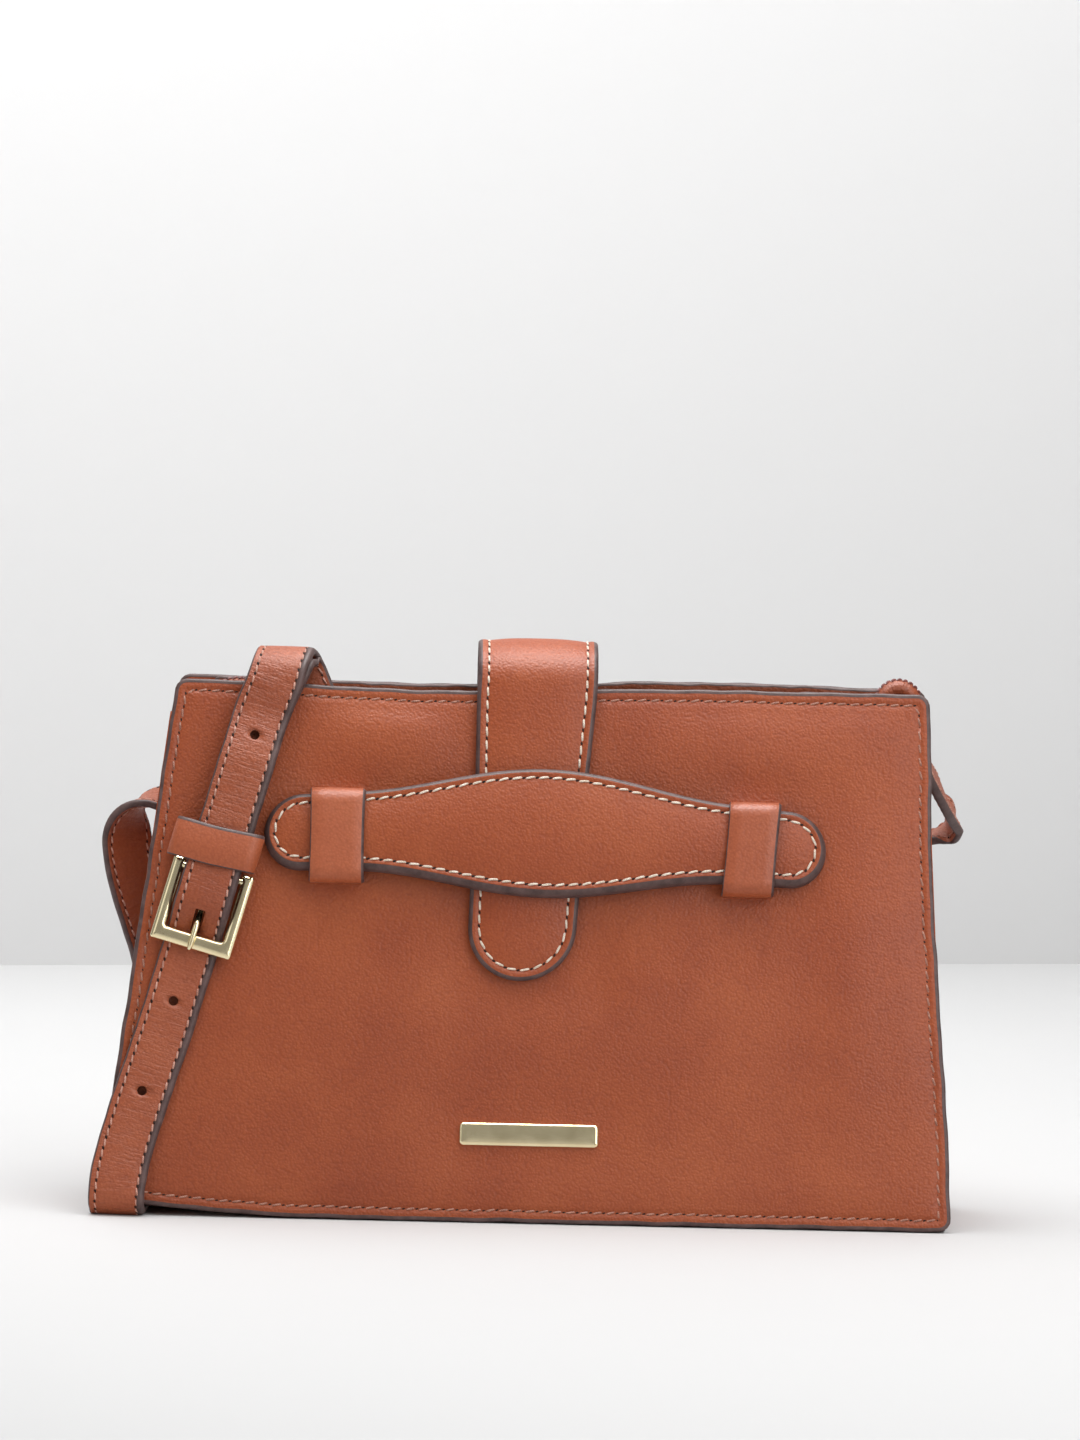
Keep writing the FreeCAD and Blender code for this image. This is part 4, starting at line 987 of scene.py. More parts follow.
def band_outline():
    """The band's outline about its own middle: a wide middle, straight necks, round ends."""
    upper = []
    for x in np.arange(BAND_HALF - BAND_END, -(BAND_HALF - BAND_END) - 0.1, -1.0):
        swell = (1 + math.cos(math.pi * min(abs(x) / BAND_RISE, 1))) / 2
        ends = smoothstep((abs(x) - BAND_RISE) / (BAND_HALF - BAND_END - BAND_RISE))
        neck = BAND_NECK + (BAND_END - BAND_NECK) * ends
        upper.append((x, neck + (BAND_MID - BAND_NECK) * swell))
    turn = np.linspace(math.pi / 2, 3 * math.pi / 2, 40)[1:-1]
    left = [(-(BAND_HALF - BAND_END) + BAND_END * math.cos(a), BAND_END * math.sin(a)) for a in turn]
    lower = [(-x, -y) for x, y in upper]
    right = [(-x, -y) for x, y in left]
    return resampled(np.array(upper + left + lower + right), 1.0)


def turned(points, turn):
    """Points turned by a small angle in the wall's plane, clockwise seen from in front."""
    x, up = points[:, 0], points[:, 1]
    return x * math.cos(turn) + up * math.sin(turn), up * math.cos(turn) - x * math.sin(turn)


def band_place(points):
    """From the band's own flat axes to the bag: it bows over the closure tab, and its ends hang lower."""
    points = np.asarray(points, float)
    out = 4.4 - points[:, 0] ** 2 / BAND_CURVE + points[:, 2]
    x, up = turned(points, BAND_TURN)
    up = up + BAND_LIFT + BAND_TILT * (points[:, 2] - 1.2) - BAND_SAG * (points[:, 0] / BAND_HALF) ** 2
    return FRONT(np.column_stack([x + BAND_X + BAND_SHIFT, up + BAND_UP, out]))


def padded_sheet(name, outline, place, rim, level, seam, pressure, cap, crown, rings, **facts):
    """A sheet piece with a padded face: held in a groove at the seam, inflated inside it by simulation."""
    _, triangles, _ = filled(outline, inset(outline, rim[-1][0]), rings, PAD_SPACING)

    def top(points, distance):
        groove = -0.45 * bell(distance, seam, 0.65) - 0.35 * smoothstep((1.6 - distance) / 1.6)
        start = np.column_stack([points, level + groove])
        inside = smoothstep((distance - seam) / 6)
        start[:, 2] += 0.25 * crown * inside
        row = resampled(inset(outline, seam), BAND_PITCH)
        gap = np.sqrt(((points[:, None, :] - row[None]) ** 2).sum(axis=2)).min(axis=1)
        held = (distance < seam - 0.6) | ((distance < seam + 0.5) & (gap < 0.9))
        return inflated(start, triangles, held, pressure, cap)

    return sheet_piece(name, outline, place, rim, top, rings, PAD_SPACING, [TAN, GREY_EDGE], **facts)


def build_band():
    outline = band_outline()
    back = [(0.9, 0.0), (0.3, 0.12), (0.0, 0.6), (0.2, 1.0), (0.9, 1.2)]
    flat = lambda p, d: np.full(len(p), 1.2)
    sheet_piece("band_backing", inset(outline, 0.25), band_place, back, flat, (), 3.5,
                [TAN_INSIDE, GREY_EDGE], body="grip_band", stands_for=["grip_band_backing"])
    rim = [(0.9, 1.25), (0.05, 1.5), (0.0, 2.3), (0.25, 3.1), (0.9, 3.75), (1.55, 4.05)]
    rings = (2.0, 2.5, 3.0, 3.5, 4.1, 4.9)
    face = padded_sheet("band_pad", outline, band_place, rim, 4.3, BAND_SEAM, 9.0, 1.5, 0.9, rings,
                        body="grip_band", stands_for=["grip_band_face", "grip_band_filler"])
    surface = lambda path: np.full(len(path), 3.95)
    row = stitch_row(inset(outline, BAND_SEAM), surface, band_place, BAND_PITCH)
    stitches("band_stitches", [row], CREAM_THREAD, radius=0.36, lean=0.30, reach=0.92, body="grip_band")


# ---------------------------------------------------------------- closure tab

TAB_TIP = 70.7
TAB_HALF_TIP = 15.8
TAB_HALF_NECK = 16.5
TAB_HALF_TOP = 17.5
ARCH_UP = BAG_HEIGHT + 1.0
ARCH_BASE = HALF_BASE * COS - ARCH_UP * SIN  # the arch's radius at the wall's own face
ARCH_RADIUS = ARCH_BASE + 2.0  # where the leather's length is measured
ARCH_START = HALF_BASE * SIN + ARCH_UP * COS
ARCH_TURN = math.pi - 2 * LEAN
ARCH_FLAT = 0.75  # the arch over the mouth is a little flatter than a half circle
ARCH_END = ARCH_START + ARCH_TURN * ARCH_RADIUS
TAB_END = ARCH_END + ARCH_START - 126.5
TAB_SEAM = 3.1
TAB_LEVEL = 146.0  # the height where the tab is on its middle line
TAB_ASKEW = 0.041


def tab_place(points):
    """From the tab's flat length to the bag: up the front wall, over the mouth and down the back wall."""
    points = np.asarray(points, float)
    run, height = points[:, 1], points[:, 2]
    askew = TAB_ASKEW * (np.minimum(run, ARCH_START) - TAB_LEVEL)
    askew *= smoothstep((ARCH_END - run) / (ARCH_END - ARCH_START))
    x = points[:, 0] + TAB_X + askew
    out = FRONT(np.column_stack([x, run, height]))
    angle = math.pi - LEAN - (run - ARCH_START) / ARCH_RADIUS
    reach = ARCH_BASE + height
    arch = np.column_stack([x, reach * np.cos(angle), ARCH_UP + reach * ARCH_FLAT * np.sin(angle)])
    down = BACK(np.column_stack([x, ARCH_START - (run - ARCH_END), height]))
    over, behind = run > ARCH_START, run > ARCH_END
    out[over] = arch[over]
    out[behind] = down[behind]
    return out


def tab_outline():
    """The tab laid flat: a round tip, a slight taper and a square root."""
    turn = np.linspace(math.pi, 2 * math.pi, 44)
    tip = [(TAB_HALF_TIP * math.cos(a), TAB_TIP + TAB_HALF_TIP + TAB_HALF_TIP * math.sin(a)) for a in turn]
    right = [(TAB_HALF_NECK, 130.0), (TAB_HALF_TOP, 153.0)]
    right += [(TAB_HALF_TOP, TAB_END - 4), (TAB_HALF_TOP - 4, TAB_END)]
    left = [(-x, run) for x, run in reversed(right)]
    return resampled(np.array(tip + right + left), 1.0)


def build_tab():
    outline = tab_outline()
    rim = [(0.7, 0.45), (0.2, 0.55), (0.0, 0.9), (0.15, 1.4), (0.5, 1.6)]
    flat = lambda p, d: np.full(len(p), 1.6)
    backing = sheet_piece("tab_backing", inset(outline, 0.2), tab_place, rim, flat, (), 2.6,
                          [TAN_INSIDE, GREY_EDGE], body=None, stands_for=["closure_tab_backing"])
    rim = [(0.8, 1.65), (0.05, 1.85), (0.0, 2.4), (0.2, 2.9), (0.7, 3.3), (1.2, 3.45)]
    rings = (1.7, 2.2, 2.65, 3.1, 3.55, 4.1, 4.9)
    face = padded_sheet("tab_pad", outline, tab_place, rim, 3.5, TAB_SEAM, 5.0, 0.75, 0.5, rings, body=None,
                        stands_for=["closure_tab_face", "closure_tab_filler", "closure_tab_root"])
    surface = lambda path: np.full(len(path), 3.12)
    row = stitch_row(inset(outline, TAB_SEAM), surface, tab_place, BAND_PITCH)
    sewn = stitches("tab_stitches", [row], CREAM_THREAD, radius=0.34, lean=0.16, reach=0.88, body=None)
    for made in (backing, face, sewn):
        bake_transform(made)


# ---------------------------------------------------------------- band keepers

KEEPER_WIDTH = 15.6
KEEPER_RISE = 8.5  # middle of the leather, out of the wall
KEEPER_LEVEL = {"left": -0.85, "right": -2.4}
KEEPER_ASKEW = {"left": 0.0, "right": 0.07}
KEEPER_SQUEEZE = {"left": 1.0, "right": 0.94}


def build_band_keeper(side):
    """A leather staple over the band, with its legs through slits in the wall."""
    half = KEEPER_HALF - 0.7
    radius = 3.4
    path = [(-half, -1.6), (-half, 1.0), (-half, KEEPER_RISE - radius)]
    for angle in np.linspace(0, math.pi / 2, 8)[1:]:
        path.append((-half + radius * (1 - math.cos(angle)), KEEPER_RISE - radius + radius * math.sin(angle)))
    path += [(-4.5, KEEPER_RISE + 0.12), (0, KEEPER_RISE + 0.15)]
    path += [(-y, out) for y, out in reversed(path[:-1])]
    line, _ = curve_through(np.array(path, float), 0.7)
    centre = KEEPER_X[side]
    drop = KEEPER_LEVEL[side]
    askew = KEEPER_ASKEW[side] * line[:, 0]
    places = FRONT(np.column_stack([centre + askew, BAND_UP + drop + line[:, 0], line[:, 1]]))
    tangent = unit(np.gradient(line, axis=0))
    flat_normals = np.column_stack([np.zeros(len(line)), -tangent[:, 1], tangent[:, 0]])
    flat_normals *= np.sign(flat_normals[len(line) // 2, 2])
    normals = FRONT(flat_normals) - FRONT(np.zeros((1, 3)))
    _, across, square = route_frames(places, normals)
    half_wide, half_thick = KEEPER_WIDTH / 2, 0.7
    ring = [(-half_wide + 0.3, half_thick), (-half_wide * 0.5, half_thick + 0.06), (0, half_thick + 0.08)]
    ring += [(half_wide * 0.5, half_thick + 0.06), (half_wide - 0.75, half_thick)]
    ring += [(half_wide, half_thick * 0.2), (half_wide, -half_thick * 0.5)]
    ring += [(half_wide - 0.3, -half_thick), (0, -half_thick)]
    ring += [(-half_wide + 0.3, -half_thick), (-half_wide, -half_thick * 0.5), (-half_wide, half_thick * 0.4)]
    kinds = [0, 0, 0, 0, 1, 1, 1, 2, 2, 1, 1, 1]
    sections = repeated(ring, len(line))
    flare = KEEPER_SQUEEZE[side] * (1 + 0.03 * (np.abs(line[:, 0]) / half) ** 2)
    sections[..., 0] *= flare[:, None]
    swept(f"band_keeper_{side}_leather", places, across, square, sections,
          [TAN_SMOOTH, GREY_EDGE, TAN_INSIDE], kinds, stands_for=[f"band_keeper_{side}"])


# ---------------------------------------------------------------- strap

STRAP_HALF = 8.0
STRAP_THICK = 2.6
STRAP_THIN = 1.3
STRAP_PITCH = 3.2
STRAP_ROW = 6.0  # how far the stitch rows are from the strap's middle
STRAP_SEWING = {"radius": 0.30, "lean": 0.24, "reach": 0.86}
PUNCH_SIDES = 24
PUNCH_REACH = 4.0  # the punch's half length through the leather


def on_strap(along, out, facing=(0, 1)):
    """A station on the strap's front run; facing is the leather's normal as (along, out)."""
    normal = STRAP((0, facing[0], facing[1])) - STRAP((0, 0, 0))
    return (*STRAP((0, along, out)), *normal)


def on_front(x, height, out):
    return (*FRONT((x, height / COS, out)), *OUTWARDS)


SHORT_STRAP = [
    # loop that hangs inside the bag, from the left root to the mouth
    (-80, 0, 142.6, -1, 0, 0), (-80, -0.3, 131, -1, 0, -0.05), (-77, -1.2, 119, -0.85, 0, -0.5),
    (-69, -2.4, 112.6, 0, 0, -1), (-61, -3.6, 116, 0.8, -0.1, -0.6), (-57.5, -4.4, 125, 0.75, 0.65, -0.1),
    (-59.8, -4.9, 135, 0.25, 0.95, 0), (-64.5, -4.8, 147, 0, 1, 0),
    # over the front wall's top edge
    (-68.4, -4.3, 156.5, 0, 1, -0.1), (-70.2, -5.6, 159.2, 0, 0.6, 0.8), (-71.6, -9, 160.9, 0, 0, 1),
    (-73.2, -12.4, 159.2, 0, -0.75, 0.66), (-75, -13.9, 155.8, 0, -1, 0.12),
    # down the front
    on_strap(60, 1.65), on_strap(50, 3.5), on_strap(45, 4.25), on_strap(30, 4.3), on_strap(19, 4.35),
    # thinned: round the buckle's pivot bar and back up behind
    on_strap(14.5, 6.1), on_strap(11.2, 6.25), on_strap(9.75, 5.65, (-0.7, 0.7)),
    on_strap(9.15, 4.2, (-1, 0)), on_strap(9.75, 2.75, (-0.7, -0.7)), on_strap(11.2, 2.15, (0, -1)),
    on_strap(20, 2.15, (0, -1)),
    on_strap(30, 2.15, (0, -1)),
]
THICK_STATIONS = 18

LONG_STRAP = [
    # tail, inside the mouth and over the top edge
    (-63.6, -1.0, 143, 0, 1, 0), (-66.3, -1.4, 149.5, 0, 1, 0.02), (-69.2, -1.5, 157, 0, 1, 0.1),
    (-71.0, -3.0, 161.5, 0, 0.7, 0.7), (-72.4, -8.8, 164.3, 0, 0, 1), (-74.0, -14.9, 161.4, 0, -0.75, 0.66),
    (-75.8, -17.1, 155.4, 0, -1, 0.12),
    # down the front, over the short strap and the pivot bar
    on_strap(60, 4.65), on_strap(50, 6.5), on_strap(45, 7.2), on_strap(30, 7.25), on_strap(21, 7.4),
    on_strap(16, 8.1), on_strap(12, 8.5), on_strap(8, 8.55), on_strap(4, 8.3, (0.2, 1)),
    on_strap(1, 7.5, (0.5, 1)), on_strap(-2, 5.5, (0.75, 1)), on_strap(-4.5, 3.4, (0.65, 1)),
    on_strap(-6.6, 2.05, (0.35, 1)),
    on_strap(-8.4, 1.65, (0.1, 1)), on_strap(-12.5, 1.6),
    # below the buckle, down to the lower left corner
    on_front(-101.6, 67, 1.65),
    on_front(-105.2, 54.5, 1.7),
    on_front(-109.2, 42, 1.8),
    on_front(-113.0, 30, 2.0),
    on_front(-116.1, 19, 2.3),
    on_front(-117.8, 10.5, 2.7),
    # under the bag, drifting to the right
    (-118.2, -32.9, 4.7, -0.1, -0.85, -0.5),
    (-118.0, -30.2, 1.9, -0.05, -0.4, -0.9),
    (-117.8, -25.5, 1.3, 0, 0, -1),
    (-116.4, 0, 1.3, 0, 0, -1),
    (-114.8, 26, 1.3, 0, 0, -1),
    (-114.5, 31.7, 1.9, 0, 0.5, -0.87),
    (-114.1, 34.9, 5.6, 0, 0.9, -0.4),
    # up behind it and round the left arch
    (-112.9, 35.6, 14, -0.02, 1, -0.1),
    (-110.2, 35.0, 32, -0.08, 1, 0),
    (-108.2, 33.0, 48, -0.2, 0.97, 0),
    (-108.8, 31.0, 62, -0.35, 0.93, -0.05),
    (-111.6, 29.5, 73, -0.5, 0.86, -0.08),
    (-115.4, 28.4, 84, -0.55, 0.83, -0.05),
    (-119.0, 27.6, 96, -0.58, 0.81, 0.02),
    (-120.2, 27.2, 105.5, -0.52, 0.78, 0.34),
    (-118.8, 27.1, 112.6, -0.45, 0.4, 0.8),
    (-115.4, 27.2, 116.5, -0.28, -0.05, 0.95),
    (-109.5, 27.6, 117.2, 0.02, -0.34, 0.94),
    (-101, 28.0, 116.2, 0.08, -0.28, 0.95),
    # across the back, face up
    (-86, 28.4, 114.8, 0.05, -0.12, 1),
    (-55, 28.4, 113.4, 0.03, 0, 1),
    (-20, 28.4, 112.6, 0.02, 0, 1),
    (20, 28.4, 111.8, 0.02, 0, 1),
    (60, 28.6, 111.0, 0.02, 0, 1),
    (92, 29.0, 110.2, 0, 0, 1),
    (105, 28.8, 109.8, 0, 0, 1),
    # fold at the right, and up to the right root
    (113, 28.3, 109.9, -0.12, 0, 1),
    (119.2, 27.5, 110.9, -0.4, -0.02, 0.92),
    (123.2, 26.4, 112.9, -0.8, -0.02, 0.6),
    (124.8, 24.4, 115.6, -1, 0.02, -0.05),
    (124.0, 20.6, 118.6, -0.82, 0.12, -0.56),
    (122.2, 15.6, 121.8, -0.85, 0.12, -0.5),
    (120.3, 9.6, 125.8, -0.9, 0.1, -0.42),
    (117.4, 4.3, 130.6, -0.9, 0.08, -0.42),
    (114.2, 1.1, 136.4, -0.93, 0.03, -0.36),
    (111.9, 0.1, 142.0, -0.98, 0, -0.2),
    (111.4, 0, 148.0, -1, 0, 0),
]


def strap_frames(route, thicks, step=1.1):
    """A strap's dense route: places, across and square directions, and thickness."""
    route = np.array([[float(value) for value in station] for station in route])
    places, stations = curve_through(route[:, :3], step)
    normals = unit(route[:, 3:])
    numbers = np.arange(len(route))
    normals = np.column_stack([np.interp(stations, numbers, normals[:, k]) for k in range(3)])
    _, across, square = route_frames(places, normals)
    return places, across, square, np.interp(stations, numbers, thicks)


def strap_stitch_rows(places, across, square, half_thick):
    """Stitch rows along both edges of a strap, on both faces."""
    rows = []
    for face in (1, -1):
        for side in (-1, 1):
            path = places + across * side * STRAP_ROW + square * face * (half_thick[:, None] - 0.08)
            both = resampled(np.hstack([path, square * face]), STRAP_PITCH, False)
            rows.append((both[:, :3], unit(both[:, 3:]), False))
    return rows


def punch(strap, holes):
    """Cuts the punched holes; each is (centre, axis, radius, long direction, half length)."""
    for centre, axis, radius, long_way, half_length in holes:
        side = np.cross(axis, long_way)
        ring = []
        for angle in around(PUNCH_SIDES):
            shift = half_length * (1 if math.sin(angle) >= 0 else -1)
            lengthways = long_way * (radius * math.sin(angle) + shift)
            ring.append(centre + side * radius * math.cos(angle) + lengthways)
        points = np.vstack([ring - axis * PUNCH_REACH, ring + axis * PUNCH_REACH])
        # the cutter's painted shade passes to the walls of the punched hole
        cutter = piece("punch", points, tube_faces(0, PUNCH_SIDES, 2), [HOLE_SHADE], body=None)
        cut = strap.modifiers.new("punch", "BOOLEAN")
        cut.operation = "DIFFERENCE"
        cut.solver = "EXACT"
        cut.material_mode = "TRANSFER"
        cut.object = cutter
        ready = strap.evaluated_get(bpy.context.evaluated_depsgraph_get())
        mesh = bpy.data.meshes.new_from_object(ready)
        strap.modifiers.clear()
        strap.data = mesh
        bpy.data.objects.remove(cutter)


def build_long_strap():
    places, across, square, _ = strap_frames(LONG_STRAP, [STRAP_THICK] * len(LONG_STRAP))
    ring, kinds = strap_section(STRAP_HALF + 0.2, STRAP_THICK / 2, 0.55, 2.0, 0.16)
    kinds = [kind % 2 for kind in kinds]  # both faces are the same leather
    sections = repeated(ring, len(places))
    turn = np.arange(len(places)) * 0.33
    sections[..., 0] *= (1 + 0.006 * np.sin(turn) + 0.005 * np.sin(turn * 2.3))[:, None]
    strap = swept("long_strap_leather", places, across, square, sections, [TAN_STRAP, GREY_EDGE], kinds,
                  stands_for=["strap_long"])
    spots = [(STRAP((0, along, 7)), 1.4, half) for along, half in ((53.3, 0), (22.0, 0))]
    spots.append((STRAP((0, -3.2, 4.5)), 1.45, 2.6))
    spots += [(FRONT((x, height / COS, 1.8)), 1.4, 0) for x, height in ((-102.9, 62.2), (-111.4, 36.1))]
    punch(strap, [(centre, OUTWARDS, radius, STRAP_ALONG, half) for centre, radius, half in spots])
    half_thick = np.full(len(places), STRAP_THICK / 2)
    rows = strap_stitch_rows(places, across, square, half_thick)
    stitches("long_strap_stitches", rows, PINK_THREAD, **STRAP_SEWING)


def build_short_strap():
    thicks = [STRAP_THICK] * THICK_STATIONS + [STRAP_THIN] * (len(SHORT_STRAP) - THICK_STATIONS)
    places, across, square, thick = strap_frames(SHORT_STRAP, thicks, 0.9)
    ring, kinds = strap_section(STRAP_HALF - 0.1, STRAP_THICK / 2, 0.55, 1.2, 0.14)
    sections = repeated(ring, len(places))
    sections[..., 1] *= (thick / STRAP_THICK)[:, None] * 0.96
    swept("short_strap_leather", places, across, square, sections, [TAN_STRAP, GREY_EDGE, TAN_STRAP], kinds,
          stands_for=["strap_short"])
    sewn = places[:, 2] > STRAP((0, 30, 0))[2]
    last = int(np.argmax(np.cumsum(sewn[::-1]) > 0))
    stop = len(places) - last
    rows = strap_stitch_rows(places[:stop], across[:stop], square[:stop], thick[:stop] / 2 * 0.96)
    stitches("short_strap_stitches", rows, PINK_THREAD, **STRAP_SEWING)


def build_strap_keeper():
    """The plain leather loop beside the buckle."""
    back, front, low, high = 0.7, 10.3, 13.8, 25.3
    corners = [(8.2, back), (13.8, front), (-14.0, front), (-14.0, back)]  # middle of the leather
    loop = rounded(corners, (1.6, 3.4, 3.4, 1.6), 0.7)
    loop[:, 1] += 0.35 * bell(loop[:, 0], -2, 8) * (loop[:, 1] > 6) - 0.2
    middle = (low + high) / 2
    places = STRAP(np.column_stack([loop[:, 0], np.full(len(loop), middle), loop[:, 1]]))
    tangent = unit(np.roll(loop, -1, axis=0) - np.roll(loop, 1, axis=0))
    flat = np.column_stack([tangent[:, 1], np.zeros(len(loop)), -tangent[:, 0]])
    square = STRAP(flat) - STRAP(np.zeros((1, 3)))
    across = repeated(STRAP_ALONG, len(loop))
    half, thick = (high - low) / 2, 0.5
    ring = [(-half + 0.35, thick), (0, thick + 0.05), (half - 0.95, thick), (half - 0.2, thick * 0.6)]
    ring += [(half, 0), (half - 0.2, -thick), (0, -thick), (-half + 0.3, -thick)]
    ring += [(-half, -thick * 0.4), (-half, thick * 0.5)]
    kinds = [0, 0, 1, 1, 1, 2, 2, 1, 1, 1]
    sections = repeated(ring, len(loop))
    skew = 0.054 * loop[:, 0] - 0.5 * bell(loop[:, 0], -2, 9) * (loop[:, 1] > 6)
    sections[..., 0] += skew[:, None]
    swept("strap_keeper_leather", places, across, square, sections, [TAN_SMOOTH, GREY_EDGE, TAN_INSIDE],
          kinds, closed=True, body="keeper_loop", stands_for=["strap_keeper"])


# ---------------------------------------------------------------- rolled strap roots

ROOT_RADIUS = 2.3
ROOT_SIDES = 24
ROOTS = {  # x of the outer and of the inner leg, the heights of their feet, and of the arch's centre
    "strap_root_right": (111.4, 102.6, (148.1, 143.0), 152.4),
    "strap_root_left": (-94.0, -80.0, (138.0, 142.7), 146.0),
}


def build_root(name, outer_x, inner_x, feet, arch):
    """A rolled leather loop: a tube with a stitched seam round its outer side."""
    half = abs(outer_x - inner_x) / 2
    middle = (outer_x + inner_x) / 2
    side = 1 if outer_x > inner_x else -1
    path = [(outer_x, 0, z) for z in np.arange(feet[0], arch, 1.0)]
    for angle in np.linspace(0, math.pi, 26):
        path.append((middle + side * half * math.cos(angle), 0, arch + half * math.sin(angle)))
    path += [(inner_x, 0, z) for z in np.arange(arch - 1.0, feet[1], -1.0)]
    places = np.array(path, float)
    along = unit(np.gradient(places, axis=0))
    out = np.cross(np.array((0.0, side, 0.0)), along)
    ring = []
    for angle in around(ROOT_SIDES):
        off = abs(angle - math.pi / 2)
        reach = 0.98 * ROOT_RADIUS * (1 + 0.10 * bell(off, 0, 0.35) - 0.05 * bell(off, 0.55, 0.2))
        ring.append((reach * math.cos(angle), reach * math.sin(angle)))
    swept(f"{name}_leather", places, repeated((0, 1, 0), len(places)), out, repeated(ring, len(places)),
          [TAN_STRAP, TAN_STRAP], [0] * ROOT_SIDES, stands_for=[name])
    seam = np.hstack([places + out * (ROOT_RADIUS * 1.02), out])
    both = resampled(seam, 1.75, False)
    row = (both[:, :3], both[:, 3:], False)
    stitches(f"{name}_stitches", [row], WINE_THREAD, radius=0.55, lean=0.75, reach=1.25)


# ---------------------------------------------------------------- metal pieces


def build_buckle():
    """The three-sided frame and the pivot bar across its open end."""
    half_width, side_bar, foot_bar = 12.2, 3.5, 4.6
    low, high = -11.7, 13.5
    inner = half_width - side_bar
    outline = rounded(
        [(half_width, low), (half_width, high), (inner, high), (inner, low + foot_bar),
         (-inner, low + foot_bar), (-inner, high), (-half_width, high), (-half_width, low)],
        (0.7, 0.5, 0.4, 0.5, 0.5, 0.4, 0.5, 0.7), 0.45)
    rim = [(0.25, 3.12), (0.0, 3.35), (0.0, 4.55), (0.3, 4.95), (0.8, 5.2)]
    flat = lambda p, d: 5.2 + 0.30 * smoothstep(d / 2.0)
    sheet_piece("buckle_brass", outline, STRAP, rim, flat, (1.2, 1.6), 0.9, [BRASS, BRIGHT_BRASS],
                under_spacing=2.0, slot="brass", stands_for=["buckle_frame"])
    ends = STRAP([(-half_width + 0.8, 11.2, 4.2), (half_width - 0.8, 11.2, 4.2)])
    places = np.linspace(ends[0], ends[1], 24)
    count = len(places)
    rod("buckle_pivot_bar", places, repeated(STRAP_ALONG, count), repeated(OUTWARDS, count), np.ones(count))


def build_prong():
    """The prong: hooked round the pivot bar, through the strap's hole and over the frame's foot."""
    route = [(12.6, 5.1), (11.6, 6.1), (10.0, 5.6), (8.6, 4.6), (5, 4.3), (-0.6, 4.4)]
    route += [(-2.6, 5.2), (-4.6, 6.3), (-8, 6.55), (-12.1, 6.5)]
    line, stations = curve_through(np.array(route, float), 0.35)
    places = STRAP(np.column_stack([np.zeros(len(line)), line]))
    _, across, square = route_frames(places, repeated(OUTWARDS, len(line)))
    taper = np.interp(stations, [0, 1, 7, len(route) - 1.35, len(route) - 1], [0.5, 0.85, 0.98, 0.86, 0.45])
    rod("prong_brass", places, across, square, taper, body="prong", stands_for=["buckle_prong"])


def build_trim_bar():
    low, high = corners_mm("trim_bar")
    half_long, half_high = (high[0] - low[0]) / 2, 3.4
    bar = axes(FRONT(((low[0] + high[0]) / 2, 26.0, 0)), (1, 0, 0), UP_SLOPE, OUTWARDS)
    corners = [(side * half_long, up * half_high) for side, up in ((1, -1), (1, 1), (-1, 1), (-1, -1))]
    outline = rounded(corners, (1.2,) * 4, 0.5)
    rim = [(0.1, 0.0), (0.0, 0.25), (0.0, 0.85), (0.22, 1.2), (0.6, 1.4)]
    domed = lambda p, d: 1.4 + 0.14 * smoothstep(d / 2.5)
    sheet_piece("bar_brass", outline, bar, rim, domed, (1.0, 1.5), 1.2, [BRASS, BRIGHT_BRASS],
                slot="brass", stands_for=["trim_bar"])


# ---------------------------------------------------------------- build

build_walls()
build_inside()
build_sole()
build_gusset("gusset_left", -1, LEATHER + float(rise(-HALF_BASE_WIDTH)) + 0.1)
build_gusset("gusset_right", 1, LEATHER)
build_band()
build_tab()
for keeper_side in ("left", "right"):
    build_band_keeper(keeper_side)
build_long_strap()
build_short_strap()
build_strap_keeper()
for root_name, root_shape in ROOTS.items():
    build_root(root_name, *root_shape)
build_buckle()
build_prong()
build_trim_bar()

# CAD nodes whose shape stays, with a better material
KEPT_NODES = dict.fromkeys(("front_stiffener", "back_stiffener", "base_board"), BOARD)
KEPT_NODES["trim_bar_washers"] = BRASS
for kept, material in KEPT_NODES.items():
    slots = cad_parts[kept].data.materials
    slots.clear()
    slots.append(material)


# ---------------------------------------------------------------- floor, backdrop, light and camera


def pale_material(name, low, high, bottom, top, axis="Z"):
    """Matt pale paint with a faint mottle; along an axis its tone runs from low at bottom to high at top,
    painted shade for the light falling off across the floor and up the backdrop.
    """
    made, tree, shader = new_material(name, Roughness=0.9, Specular_IOR_Level=0.15)
    place = position(tree)
    height = node(tree, "ShaderNodeSeparateXYZ", {0: place}).outputs[axis]
    inputs = {"Value": height, "From Min": bottom, "From Max": top}
    share = node(tree, "ShaderNodeMapRange", inputs).outputs["Result"]
    mottle = calculated(tree, "MULTIPLY", noise(tree, place, 40.0, 2.0), 0.02)
    # painted shade: the tone grades along the axis as the light falls off
    tone = ramp(tree, calculated(tree, "ADD", share, mottle), [(0.0, (low,) * 3), (1.0, (high,) * 3)])
    tree.links.new(tone, shader.inputs["Base Color"])
    return made


FLOOR_FAR = 0.711
FLOOR_SKEW = 0.233  # the backdrop stands a little askew behind the bag
STAGE_HALF = 1.7
WALL_TOP = 1.3


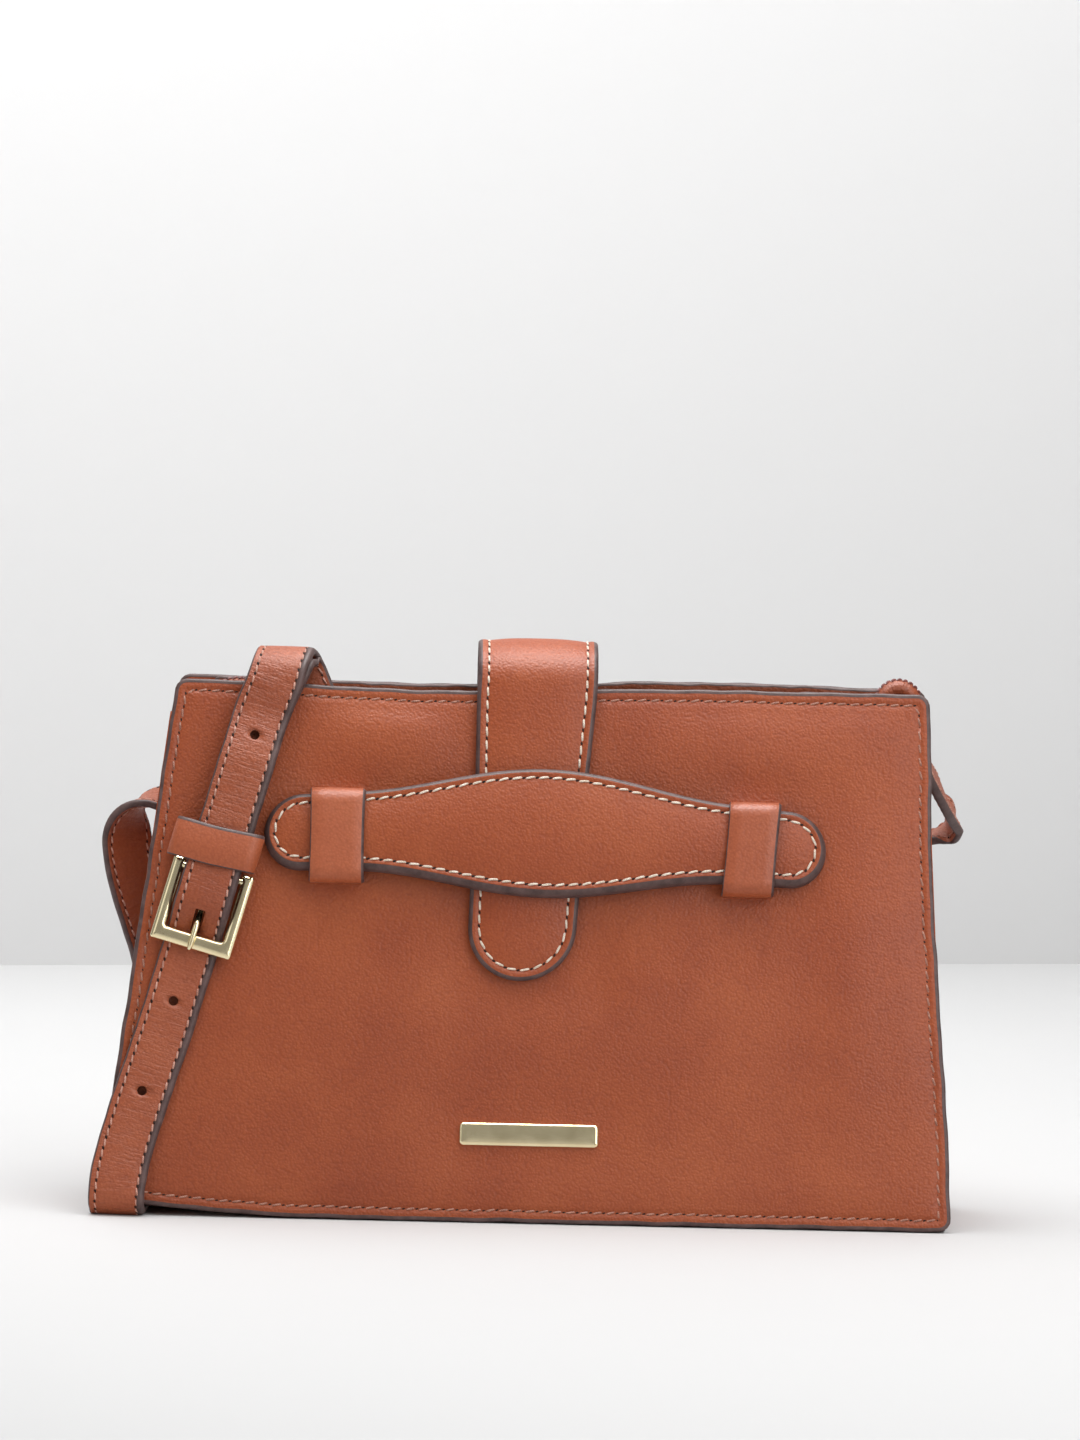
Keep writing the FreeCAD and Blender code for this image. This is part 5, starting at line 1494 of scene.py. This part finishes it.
def build_stage():
    pale = pale_material("pale_floor", 0.54, 0.72, -0.6, 0.5, axis="Y")
    wall = pale_material("pale_wall", 0.65, 0.85, 0.0, 0.40)
    left = (-STAGE_HALF, FLOOR_FAR - FLOOR_SKEW * STAGE_HALF)
    right = (STAGE_HALF, FLOOR_FAR + FLOOR_SKEW * STAGE_HALF)
    floor = [(-STAGE_HALF, -3, 0), (STAGE_HALF, -3, 0), (*right, 0), (*left, 0)]
    backdrop = [(*left, 0), (*right, 0), (*right, WALL_TOP), (*left, WALL_TOP)]
    for name, corners, material in (("floor", floor, pale), ("backdrop", backdrop, wall)):
        mesh = bpy.data.meshes.new(name)
        mesh.from_pydata(corners, [], [(0, 1, 2, 3)])
        mesh.materials.append(material)
        made = bpy.data.objects.new(name, mesh)
        bpy.context.scene.collection.objects.link(made)


def area_light(name, place, target, width, height, power):
    light = bpy.data.lights.new(name, "AREA")
    light.shape = "RECTANGLE"
    light.size, light.size_y, light.energy = width, height, power
    made = bpy.data.objects.new(name, light)
    made.location = place
    made.rotation_euler = (Vector(target) - Vector(place)).to_track_quat("-Z", "Y").to_euler()
    bpy.context.scene.collection.objects.link(made)
    return made


def build_light():
    area_light("key", (0.62, -0.85, 0.75), (0, 0, 0.08), 0.9, 0.6, 4.9)
    sheen = area_light("sheen", (0.42, -0.60, 0.20), (0.10, 0, 0.09), 0.30, 0.30, 1.7)
    gleam = area_light("gleam", (0.02, -0.06, 0.62), (0, -0.02, 0.14), 0.45, 0.20, 4.5)
    for soft in (sheen, gleam):
        soft.visible_diffuse = False
    area_light("fill", (-1.1, -1.1, 0.6), (0, 0, 0.08), 0.6, 1.0, 1.8)
    area_light("top", (-0.05, -0.08, 0.92), (0, -0.02, 0.06), 1.2, 0.85, 11)
    area_light("backdrop", (0, 0.1, 1.45), (0, FLOOR_FAR, 0.45), 2.4, 0.25, 1.6)
    world = bpy.data.worlds.new("studio")
    world.use_nodes = True
    world.node_tree.nodes["Background"].inputs["Color"].default_value = (1, 1, 1, 1)
    world.node_tree.nodes["Background"].inputs["Strength"].default_value = 0.32
    bpy.context.scene.world = world
    bpy.context.scene.view_settings.view_transform = "Standard"


CAMERA_DISTANCE = 2.2
CAMERA_ELEVATION = math.radians(4.0)
FRAME_WIDTH = 0.3138  # what the picture's width covers at the front wall
LOOKED_AT = Vector((0.0019, -0.0245, 0.1468))
CAMERA_ROLL = math.radians(1.3)


def build_camera():
    camera = bpy.data.cameras.new("camera")
    camera.sensor_fit = "HORIZONTAL"
    camera.sensor_width = 36.0
    camera.lens = 36.0 * CAMERA_DISTANCE / FRAME_WIDTH
    made = bpy.data.objects.new("camera", camera)
    back = Vector((0, -math.cos(CAMERA_ELEVATION), math.sin(CAMERA_ELEVATION)))
    made.location = LOOKED_AT + back * CAMERA_DISTANCE
    upright = (-back).to_track_quat("-Z", "Y").to_matrix()
    made.rotation_euler = (upright @ Matrix.Rotation(CAMERA_ROLL, 3, "Z")).to_euler()
    bpy.context.scene.collection.objects.link(made)
    bpy.context.scene.camera = made


build_stage()
build_light()
build_camera()
